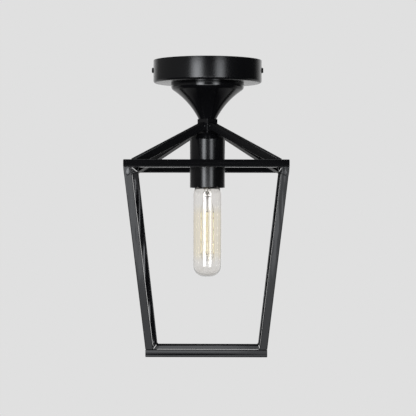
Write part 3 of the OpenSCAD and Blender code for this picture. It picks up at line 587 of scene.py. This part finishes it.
def eased(before, corner, after, soft, steps=5):
    """A corner of a line replaced by a short curve that starts and ends `soft` away from it."""
    corner = Vector(corner)
    start = corner + (Vector(before) - corner).normalized() * soft
    end = corner + (Vector(after) - corner).normalized() * soft
    times = [i / steps for i in range(steps + 1)]
    return [tuple((1 - t) ** 2 * start + 2 * t * (1 - t) * corner + t * t * end) for t in times]


crown_hole = (STEM_HOLE, sleeve_high.z)
crown_edge = (CROWN_R, sleeve_high.z)
bevel_foot = (sleeve_r, bevel_low)
mouth = (sleeve_r, sleeve_low.z)
sleeve_outline = (
    [crown_hole]
    + eased(crown_hole, crown_edge, bevel_foot, BEVEL_SOFT)
    + eased(crown_edge, bevel_foot, mouth, BEVEL_SOFT)
    + arc((sleeve_r - EDGE, sleeve_low.z + EDGE), EDGE, 0, -90, 4)
    + arc((inner_r + EDGE, sleeve_low.z + EDGE), EDGE, -90, -180, 4)
    + [(inner_r, bevel_low - SHEET * math.tan((math.pi / 2 - bevel_turn) / 2)),
       (CROWN_R - SHEET * math.tan(bevel_turn / 2), sleeve_high.z - SHEET),
       (STEM_HOLE, sleeve_high.z - SHEET)]
)
mesh = bmesh.new()
turned(mesh, sleeve_outline, segments=144)
fit(finish_mesh("lampholder_sleeve_shell", mesh), "black_powder_coat", "lantern",
    "lampholder_sleeve")

# %% [markdown]
# ## The bulb's glass
#
# A tubular bulb starts as drawn tube, so its sides are dead straight but its wall is never quite
# even: faint streaks run down it, which is what makes straight reflections look like glass and
# not plastic. The lathe wobbles each turn's radius by about a hundredth of a millimetre for that,
# always inward. The end is closed in a flame and blown to a flat dome, and the neck draws in to
# go into the cap.

# %% Blow the envelope
GLASS_WALL = 0.9 * MM
BULB_ROUND = 12.7 * MM     # between the side and the end
BULB_SHOULDER = 14 * MM    # between the side and the neck
NECK_R = 11.53 * MM
STREAK = 0.012 * MM        # depth of the streaks in the drawn tube
WAVES = ((5, 0.4), (11, 2.1), (17, 4.0))   # how many go round the tube, and each one's start

bulb_low, bulb_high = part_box("bulb_glass")
cap_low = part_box("bulb_cap_shell")[0]
bulb_r = bulb_high.x
neck_aside = BULB_SHOULDER - bulb_r + NECK_R   # from the middle of the shoulder's arc to the neck
shoulder_z = cap_low.z - math.sqrt(BULB_SHOULDER ** 2 - neck_aside ** 2)
neck_turn = math.degrees(math.acos(neck_aside / BULB_SHOULDER))


def glass_side(inset):
    """The bulb's outline from the middle of its end up to the neck, drawn in by inset."""
    return (
        [(0, bulb_low.z + inset)]
        + arc((bulb_r - BULB_ROUND, bulb_low.z + BULB_ROUND), BULB_ROUND - inset, -90, 0, 24)
        + arc((bulb_r - BULB_SHOULDER, shoulder_z), BULB_SHOULDER - inset, 0, neck_turn, 14)
        + [(NECK_R - inset, bulb_high.z)]
    )


def streaks(turn):
    """The radius's share at each turn: a few soft waves round the tube, never over 1."""
    waves = sum(math.sin(count * turn + start) for count, start in WAVES)
    return 1 - STREAK / bulb_r * (0.5 + waves / (2 * len(WAVES)))


mesh = bmesh.new()
turned(mesh, glass_side(0) + glass_side(GLASS_WALL)[::-1], segments=180, closed=False,
       wobble=streaks)
fit(finish_mesh("bulb_envelope", mesh), "clear_glass", "bulb", "bulb_glass")

# %% [markdown]
# ## The filaments on their glass stem
#
# Inside, a glass stem is pinched flat round the wires that carry the current. From it thin nickel
# wires splay out to four sticks and gather again below. Each stick is a strip with a metal tab
# at both ends, wrapped in phosphor rubber with rounded corners, and where its chips sit close
# under the skin, small dark spots show along its narrow sides.

# %% Draw the stem
PINCH_MIDDLE = 5 * MM        # from the stem's lower end to the middle of the pinch
PINCH_R = 2.5 * MM           # to the middle of the round at its end
PINCH_ROUND = 1.6 * MM
FLARE_AT = Vector((7.5, 6)) * MM   # middle of the flare's curve, out from the axis and up
FLARE_ROUND = 3.5 * MM
LIP = Vector((0.2, 1.2)) * MM      # the slope up to the stem's rim
BORE_R = 1 * MM              # the tube through which the bulb was filled with gas
BORE_END = 4 * MM            # where it stops above the pinch, and then its tip
BORE_TIP = 3.4 * MM

stem_low, stem_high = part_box("bulb_stem")
pinch_z = stem_low.z + PINCH_MIDDLE
stem_outline = (
    [(0, stem_low.z)]
    + arc((PINCH_R, stem_low.z + PINCH_ROUND), PINCH_ROUND, -90, 0, 8)
    + arc((FLARE_AT.x, pinch_z + FLARE_AT.y), FLARE_ROUND, 180, 150, 5)
    + [(stem_high.x - LIP.x, stem_high.z - LIP.y), (stem_high.x, stem_high.z),
       (BORE_R, stem_high.z), (BORE_R, pinch_z + BORE_END), (0, pinch_z + BORE_TIP)]
)
mesh = bmesh.new()
turned(mesh, stem_outline, segments=64, closed=False)
fit(finish_mesh("bulb_glass_stem", mesh), "clear_glass", "bulb", "bulb_stem")

# %% Make the sticks
STICKS = 4
STICK_CIRCLE = 6.9 * MM   # from the axis to a stick's middle
STICK_W = 1.8 * MM
STICK_T = 1.0 * MM
STICK_ROUND = 0.34 * MM

stick_low, stick_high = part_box("filament_sticks")


def rounded_bar(mesh, low, high, soft):
    """A bar between two corners with all its edges rounded, added to a bmesh."""
    middle = (Vector(low) + Vector(high)) / 2
    size = Vector(high) - Vector(low)
    made = bmesh.ops.create_cube(mesh, size=1, matrix=Matrix.Translation(middle)
                                 @ Matrix.Diagonal((*size, 1)))
    edges = {edge for vert in made["verts"] for edge in vert.link_edges}
    bmesh.ops.bevel(mesh, geom=list(edges), offset=soft, segments=4, affect="EDGES", profile=0.5)


def around(mesh):
    """Repeat all that a bmesh holds evenly about the axis, once for each stick."""
    first = [*mesh.verts, *mesh.edges, *mesh.faces]
    for i in range(1, STICKS):
        copy = bmesh.ops.duplicate(mesh, geom=first)
        bmesh.ops.rotate(mesh, matrix=Matrix.Rotation(2 * math.pi * i / STICKS, 3, "Z"),
                         verts=[g for g in copy["geom"] if isinstance(g, bmesh.types.BMVert)])


mesh = bmesh.new()
rounded_bar(mesh, (-STICK_W / 2, -STICK_CIRCLE - STICK_T / 2, stick_low.z),
            (STICK_W / 2, -STICK_CIRCLE + STICK_T / 2, stick_high.z), STICK_ROUND)
around(mesh)
fit(finish_mesh("filament_coats", mesh), "filament_phosphor", "bulb", "filament_sticks")

# %% Make the tabs and the spots of the chips
TAB_W = 0.9 * MM
TAB_T = 0.3 * MM
TAB_LEN = 3.2 * MM
TAB_ROUND = 0.08 * MM
SPOT_EVERY = 13.4 * MM   # from spot to spot along a stick's narrow side
SPOT_R = 0.5 * MM

mesh = bmesh.new()
for z in (stick_high.z, stick_low.z - TAB_LEN):
    rounded_bar(mesh, (-TAB_W / 2, -STICK_CIRCLE - TAB_T / 2, z),
                (TAB_W / 2, -STICK_CIRCLE + TAB_T / 2, z + TAB_LEN), TAB_ROUND)
around(mesh)
fit(finish_mesh("filament_tabs", mesh), "nickel_wire", "bulb", "filament_end_tabs")

mesh = bmesh.new()
spot_rows = int((stick_high.z - stick_low.z) / SPOT_EVERY) + 1
spot_heights = [stick_low.z + row * SPOT_EVERY for row in range(spot_rows)] + [stick_high.z]
for z in spot_heights:
    for flank in (-1, 1):
        bmesh.ops.create_icosphere(mesh, subdivisions=3, radius=SPOT_R, matrix=Matrix.Translation(
            (flank * (STICK_W / 2 - SPOT_R / 2), -STICK_CIRCLE, z)))
around(mesh)
fit(finish_mesh("filament_chip_spots", mesh), "capacitor_sleeve", "bulb")

# %% [markdown]
# Each wire is springy, so it leaves the glass straight, bends in one easy curve and meets its tab
# straight again. A cubic curve does the same: its two middle points say which way each end
# points, and how far.

# %% Bend the wires
WIRE_R = 0.25 * MM
SEAL_R = 3.5 * MM        # from the axis to where a wire leaves the glass
SEALED = 2 * MM          # how far up in the glass it starts
SEAL_PULL = 5 * MM       # how far down from the glass it keeps straight
TAB_PULL = 4 * MM        # and how far above its tab
TAB_LAP = 0.8 * MM       # how far it overlaps the tab that it is welded to
FOOT_PULL = 2.5 * MM     # the same three below, where the four wires meet on the axis
FOOT_TAB_PULL = 2.2 * MM
FOOT_LAP = 0.6 * MM

foot_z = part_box("filament_wires")[0].z + WIRE_R
tab_top_z = stick_high.z + TAB_LEN
tab_end_z = stick_low.z - TAB_LEN


def curve_points(start, control_a, control_b, end, steps=14):
    """Points on a cubic curve, as a springy wire bends."""
    points = [Vector(p) for p in (start, control_a, control_b, end)]
    weights = [((1 - t) ** 3, 3 * t * (1 - t) ** 2, 3 * t * t * (1 - t), t ** 3)
               for t in (i / steps for i in range(steps + 1))]
    return [sum((p * w for p, w in zip(points, weight)), Vector()) for weight in weights]


upper_wire = curve_points((0, -SEAL_R, stem_low.z + SEALED),
                          (0, -SEAL_R, stem_low.z - SEAL_PULL),
                          (0, -STICK_CIRCLE, tab_top_z + TAB_PULL),
                          (0, -STICK_CIRCLE, tab_top_z - TAB_LAP))
lower_wire = curve_points((0, 0, foot_z), (0, -FOOT_PULL, foot_z),
                          (0, -STICK_CIRCLE, tab_end_z - FOOT_TAB_PULL),
                          (0, -STICK_CIRCLE, tab_end_z + FOOT_LAP))
mesh = bmesh.new()
for path in (upper_wire, lower_wire):
    swept(mesh, path, WIRE_R, sides=10)
around(mesh)
fit(finish_mesh("filament_lead_wires", mesh), "nickel_wire", "bulb", "filament_wires")

# %% Seal the wires in the pinch
CORE_R = 0.35 * MM
CORE_OUT = 1.2 * MM      # how far the core comes out under the glass
CORE_IN = 4 * MM         # how far it stays below the stem's rim
LUMP_TALL = 1.3          # a lump's height over its width
LUMPS = ((stem_low.z - 1.4 * MM, 0.9 * MM), (pinch_z - 0.2 * MM, 1.5 * MM))   # heights and radii

mesh = bmesh.new()
swept(mesh, [(0, 0, stem_low.z - CORE_OUT), (0, 0, stem_high.z - CORE_IN)], CORE_R, sides=12)
for z, radius in LUMPS:
    lump = Matrix.Translation((0, 0, z)) @ Matrix.Diagonal((1, 1, LUMP_TALL, 1))
    bmesh.ops.create_uvsphere(mesh, u_segments=24, v_segments=16, radius=radius, matrix=lump)
fit(finish_mesh("filament_support_wire", mesh), "nickel_wire", "bulb")

# %% [markdown]
# ## Leads inside the canopy
#
# Three silicone leads run from the terminal block: live and neutral dip into the stem tube, and
# the earth lead turns up to its ring on the strap. They are soft, so they take round bends. They
# repeat the routes that the frame's leads take, rounded by a curve at each corner.

# %% Lay the leads
LEAD_R = 1 * MM
LEAD_BEND = 3 * MM
BEND_SHARE = {"live_lead": 1, "neutral_lead": 1, "earth_lead": 0.75}   # the short lead's is tighter


def rounded_route(corners, bend):
    """A path through the corners, each inner corner rounded over the distance bend."""
    path = [corners[0]]
    for before, corner, after in zip(corners, corners[1:], corners[2:]):
        path += eased(before, corner, after, bend, steps=8)
    return path + [corners[-1]]


CLAMP_Z = -15.7          # mm, like all numbers in the routes
STEM_TOP_Z = -16.3
holder_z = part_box("live_lead")[0].z / MM + LEAD_R / MM
routes = {
    "live_lead": [(-10, 20, CLAMP_Z), (-10, 12, CLAMP_Z), (-1.6, 0, STEM_TOP_Z),
                  (-1.6, 0, holder_z), (-10, 0, holder_z)],
    "neutral_lead": [(0, 20, CLAMP_Z), (0, 12, CLAMP_Z), (1.6, 0, STEM_TOP_Z),
                     (1.6, 0, holder_z), (10, 0, holder_z)],
    "earth_lead": [(10, 20, CLAMP_Z), (10, 13, CLAMP_Z), (18.25, 13, -6.5),
                   (18.25, 12, -3.1), (18.25, 7, -3.1)],
}
for name, route in routes.items():
    mesh = bmesh.new()
    path = rounded_route([Vector(corner) * MM for corner in route], LEAD_BEND * BEND_SHARE[name])
    swept(mesh, path, LEAD_R, sides=20)
    fit(finish_mesh("round_" + name, mesh), slot_of[name], "lantern", name)

# %% [markdown]
# ## Weld seams
#
# The tubes are joined by short seams of weld, ground nearly flush and then painted over. What is
# left of them is a small soft fillet in each inside corner, and it matters: it catches light just
# where two tubes meet, and it makes the cage one welded thing and not a stack of bars. Each seam
# is a thin bead swept along the line where two faces meet, swelling a little from place to place
# as hand welding does.

# %% Lay the weld seams
BEAD_R = 0.9 * MM
ARM_BEAD_R = 0.7 * MM    # finer where an arm ends on the ring
HUB_BEAD_R = 0.6 * MM    # and finest on the hub
HUB_SEAM = (0.35, 0.6)   # from and to, as shares of the arm's depth below its top face
RING_SEAM = (0.12, 0.95)
SEAM_END = 1 * MM        # how far a seam stops short of the tube's outer face
TAPER = 0.55             # the radius at a seam's two ends, as a share of the radius between
SWELL = 0.1              # how much that grows and shrinks along the seam
SWELL_TURN = 2.3         # radians from one point of the seam to the next
HUB_HALF = 8.3 * MM      # from the axis to a face of the hub block

upper_low, upper_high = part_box("upper_bar_front")
lower_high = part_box("lower_bar_front")[1]
tube = upper_high.z - upper_low.z
ring_in = upper_high.x - tube      # inner face of the upper ring
foot_in = lower_high.x - tube      # inner face of the lower ring
upper_under_z = upper_low.z
lower_top_z = lower_high.z
arm_top_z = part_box("roof_arm_front_left")[1].z
arm_reach = ring_in * math.sqrt(2) - HUB_HALF
arm_slope = (arm_top_z - upper_high.z) / arm_reach
arm_depth = tube * math.hypot(1, arm_slope)   # measured straight down


def bead(mesh, path, radius=BEAD_R, steps=6):
    """A seam along straight stretches, its radius swelling a little as the torch moved on."""
    points = []
    for start, end in zip(path, path[1:]):
        points += [Vector(start).lerp(Vector(end), i / steps) for i in range(steps)]
    points.append(Vector(path[-1]))
    shares = [1 + SWELL * math.sin(SWELL_TURN * i) for i in range(len(points))]
    shares[0] = shares[-1] = TAPER
    radii = [radius * share for share in shares]
    swept(mesh, points, radii, sides=12)


def arm_point(out, aside, down):
    """A point on the arm of the front left corner: out along it from the axis, aside, and below
    its top face."""
    corner = math.sqrt(0.5)
    z = arm_top_z - (out - HUB_HALF) * arm_slope - down
    return (-(out + aside) * corner, -(out - aside) * corner, z)


def corner_seam(seams, outside, inside, z):
    """A seam round the two inner sides of an upright, at one of its ends."""
    end = SEAM_END - outside
    bead(seams, [(end, -inside, z), (-inside, -inside, z), (-inside, end, z)])


half = tube / 2
arm_end = ring_in * math.sqrt(2) - half
mesh = bmesh.new()
for turn in range(4):
    seams = bmesh.new()
    # where an arm butts on the hub: both sides and the underside
    for aside in (-half, half):
        bead(seams, [arm_point(HUB_HALF, aside, share * arm_depth) for share in HUB_SEAM],
             radius=HUB_BEAD_R)
    bead(seams, [arm_point(HUB_HALF, aside, arm_depth) for aside in (-half, half)],
         radius=HUB_BEAD_R)
    # where it ends in the upper ring's inner corner
    for aside in (-half, half):
        bead(seams, [arm_point(arm_end, aside, share * arm_depth) for share in RING_SEAM],
             radius=ARM_BEAD_R)
    # where an upright hangs under the upper ring and where it stands on the lower one
    corner_seam(seams, upper_high.x, ring_in, upper_under_z)
    corner_seam(seams, lower_high.x, foot_in, lower_top_z)
    bmesh.ops.rotate(seams, matrix=Matrix.Rotation(turn * math.pi / 2, 3, "Z"),
                     verts=seams.verts)
    part = bpy.data.meshes.new("seams")
    seams.to_mesh(part)
    seams.free()
    mesh.from_mesh(part)
    bpy.data.meshes.remove(part)
fit(finish_mesh("cage_weld_seams", mesh, 60), "black_powder_coat", "lantern")

# %% [markdown]
# On the outside the welds under the upper ring are dressed with a flap disc. That leaves a low
# smooth swelling on each outer face of the upright, leaning a little towards the edge because the
# disc takes more off there, and it throws a small bright patch of its own.

# %% Lay the dressed welds
PAD_REACH = (3.6 * MM, 0.5 * MM, 5.0 * MM)   # half its width, half its thickness, half its length
PAD_DROP = 4.2 * MM          # its middle below the ring
PAD_ASIDE = 4.2 * MM         # its middle from the upright's outer edge
PAD_SUNK = 0.32 * MM         # its middle under the upright's face
PAD_TILT = math.radians(8)   # how far the disc leans it towards the edge
PAD_NOD = math.radians(4)    # and how far it faces down, like the upright

lean = (upper_high.x - lower_high.x) / (upper_under_z - lower_top_z)
pad_face = upper_high.x - lean * PAD_DROP   # from the axis to the upright's face at that height
front_pad = (Matrix.Translation((PAD_ASIDE - pad_face, PAD_SUNK - pad_face,
                                 upper_under_z - PAD_DROP))
             @ Matrix.Rotation(-PAD_TILT, 4, "Z") @ Matrix.Rotation(PAD_NOD, 4, "X")
             @ Matrix.Diagonal((*PAD_REACH, 1)))
swap_sides = Matrix(((0, 1, 0, 0), (1, 0, 0, 0), (0, 0, 1, 0), (0, 0, 0, 1)))
mesh = bmesh.new()
for turn in range(4):
    for pad in (front_pad, swap_sides @ front_pad):
        bmesh.ops.create_uvsphere(mesh, u_segments=32, v_segments=20, radius=1,
                                  matrix=Matrix.Rotation(turn * math.pi / 2, 4, "Z") @ pad)
fit(finish_mesh("dressed_weld_pads", mesh, 60), "black_powder_coat", "lantern")

# %% [markdown]
# ## The pale studio
#
# Black paint shows little of its own colour and much of what stands round it, so that is what has
# to be right. A set could be modelled, but a world that changes with direction does the same work
# with a few nodes: pale behind the lantern at eye level, paler on the left than on the right, and
# dim on the camera's side. The camera itself, also through the bulb's glass, sees one plain pale
# grey.

# %% Paint the world
BACKDROP = "e0e0e0"
FROM_BEHIND = 0.95   # light from behind the lantern, as mirrors see it
FROM_LEFT = 0.2      # from the camera's left
FROM_REST = 0.03     # and from everywhere else

# Where each light begins and where it is full, as the part of a direction that points away from
# the camera, up or down, and to the right
AWAY_SPAN = (0.5, 1)
LEVEL_SPAN = (0.4, 0.12)
LEFT_SPAN = (-0.2, -0.9)
SOFT_ENDS = {"interpolation_type": "SMOOTHSTEP"}


def seen_directly(tree):
    """1 for what the camera sees itself, also through glass, and 0 for every other ray."""
    rays = add(tree, "ShaderNodeLightPath").outputs
    return combine(tree, "MAXIMUM", rays["Is Camera Ray"], rays["Is Transmission Ray"])


world = bpy.data.worlds.new("pale_studio")
bpy.context.scene.world = world
world.use_nodes = True
tree = world.node_tree
tree.nodes.clear()
direction = add(tree, "ShaderNodeTexCoord").outputs["Generated"]
way = add(tree, "ShaderNodeSeparateXYZ", {"Vector": direction}).outputs
tilt = add(tree, "ShaderNodeMath", {0: way["Z"]}, operation="ABSOLUTE").outputs[0]
away = spread(tree, way["Y"], 0, 1, *AWAY_SPAN, **SOFT_ENDS)
eye_level = spread(tree, tilt, 0, 1, *LEVEL_SPAN, **SOFT_ENDS)
behind = spread(tree, combine(tree, "MULTIPLY", away, eye_level), FROM_REST, FROM_BEHIND, 0, 1)
leftward = spread(tree, way["X"], 0, FROM_LEFT, *LEFT_SPAN, **SOFT_ENDS)
light = combine(tree, "MAXIMUM", behind, leftward)
plain = add(tree, "ShaderNodeBackground", {"Color": linear(BACKDROP), "Strength": 1})
studio = add(tree, "ShaderNodeBackground", {"Color": linear("ffffff"), "Strength": light})
mixed = add(tree, "ShaderNodeMixShader", {
    0: seen_directly(tree), 1: studio.outputs[0], 2: plain.outputs[0]})
add(tree, "ShaderNodeOutputWorld", {"Surface": mixed.outputs[0]})

# %% [markdown]
# ## The floor
#
# The underside of the canopy and the cone's flank look down at the floor, so it has to be there,
# far below. It is lit well behind the lantern and lies in shade under it. A real floor would need
# lamps of its own for that; here a mirror sees a weak glow that grows with distance, and the
# camera sees the backdrop's grey, so that no edge shows.

# %% Lay the floor
FLOOR_DROP = 2.4         # m below the canopy's top
FLOOR_R = 18             # m
FLOOR_NEAR = 0.02        # light that a mirror sees from the floor under the lantern
FLOOR_FAR = 0.55         # and from the lit floor behind it
LIT_SPAN = (0.5, 3.5)    # m behind the lantern, between the two
FLOOR_GLOW = 1.1         # what the camera sees: this much of the backdrop's grey
GLOW_SHARE = 0.8         # mixed in this share with the floor's own colour


def pale_floor():
    """Matt pale paint, with a glow of its own for the camera and another for mirrors."""
    material, tree, shader = new_finish("pale_floor", Metallic=0, Roughness=0.9)
    shader.inputs["Base Color"].default_value = linear("d9d7d5")
    glow = add(tree, "ShaderNodeEmission", {"Color": linear(BACKDROP), "Strength": FLOOR_GLOW})
    looked_at = add(tree, "ShaderNodeMixShader", {
        0: combine(tree, "MULTIPLY", seen_directly(tree), GLOW_SHARE),
        1: shader.outputs[0], 2: glow.outputs[0]})
    sheen = add(tree, "ShaderNodeEmission", {
        "Strength": spread(tree, place_of(tree, "Y"), FLOOR_NEAR, FLOOR_FAR, *LIT_SPAN)})
    mirrored = add(tree, "ShaderNodeLightPath").outputs["Is Glossy Ray"]
    mixed = add(tree, "ShaderNodeMixShader", {
        0: mirrored, 1: looked_at.outputs[0], 2: sheen.outputs[0]})
    tree.links.new(mixed.outputs[0], tree.nodes["Material Output"].inputs["Surface"])
    return material


mesh = bmesh.new()
bmesh.ops.create_circle(mesh, cap_ends=True, segments=96, radius=FLOOR_R,
                        matrix=Matrix.Translation((0, 0, -FLOOR_DROP)))
floor_data = bpy.data.meshes.new("floor")
mesh.to_mesh(floor_data)
mesh.free()
floor = placed("floor", floor_data)
floor.data.materials.append(pale_floor())
print("the floor lies", FLOOR_DROP, "m down")

# %% [markdown]
# ## The lamps
#
# Two tall soft panels stand beside the camera. Their long reflections are what model the canopy,
# the sleeve and the bulb, so each is brightest in its middle, like a curtained window. Three weak
# fills come from below and from above, for the tubes' faces that the tall panels miss.

# %% Set the lamps
DAYLIGHT = "f8fbff"      # a slightly cool white
MIDDLE_AWAY = 2.2        # m, from the lantern to the bright middle of a window
CURTAIN_AWAY = 2.21      # to the curtain just behind it
FILL_AWAY = 2.4
MIDDLE_WIDTH = 0.45      # the middle's share of a window's width,
MIDDLE_HEIGHT = 0.9      # height
MIDDLE_LIGHT = 0.45      # and light
CURTAIN_WIDTH = 0.9

lantern_middle = (cad_box[0] + cad_box[1]) / 2


def panel(name, distance, azimuth, elevation, width, height, radiance):
    """A soft rectangle of light that faces the lantern. Angles and sizes are in degrees as seen
    from the lantern: azimuth 0 is the camera's side, and positive turns to its right."""
    a, e = math.radians(azimuth), math.radians(elevation)
    way = Vector((math.sin(a) * math.cos(e), -math.cos(a) * math.cos(e), math.sin(e)))
    lamp = bpy.data.lights.new(name, "AREA")
    lamp.shape = "RECTANGLE"
    lamp.size = 2 * distance * math.tan(math.radians(width / 2))
    lamp.size_y = 2 * distance * math.tan(math.radians(height / 2))
    lamp.energy = radiance * math.pi * lamp.size * lamp.size_y
    lamp.color = linear(DAYLIGHT)[:3]
    holder = placed(name, lamp)
    holder.location = lantern_middle + way * distance
    holder.rotation_mode = "QUATERNION"
    holder.rotation_quaternion = way.to_track_quat("Z", "Y")
    holder.visible_camera = False
    print(name, "gives", round(lamp.energy, 1), "W")
    return holder


def curtained_window(name, azimuth, elevation, width, height, radiance):
    """A narrow panel in front of a wide one, so that the light is strongest in the middle."""
    panel(name + "_middle", MIDDLE_AWAY, azimuth, elevation,
          MIDDLE_WIDTH * width, MIDDLE_HEIGHT * height, MIDDLE_LIGHT * radiance)
    panel(name, CURTAIN_AWAY, azimuth, elevation,
          CURTAIN_WIDTH * width, height, (1 - MIDDLE_LIGHT) * radiance)


curtained_window("left_window", -21.5, 3, 26, 31, 7.8)
curtained_window("right_window", 27, 3, 22, 31, 5)
fills = [
    panel("low_front_glow", FILL_AWAY, 0, -13.5, 60, 21, 1.2),
    panel("low_left_glow", FILL_AWAY, -10, -11, 22, 9, 1.2),
    panel("light_from_above", FILL_AWAY, 180, 60, 50, 30, 1.2),
]
for fill in fills:
    fill.visible_transmission = False   # from behind, the bulb shows the backdrop and not a lamp

# %% [markdown]
# ## Last lines
#
# The picture is shown without any film curve, so that a colour renders as it is written.

# %% Finish
bpy.context.scene.view_settings.view_transform = "Standard"
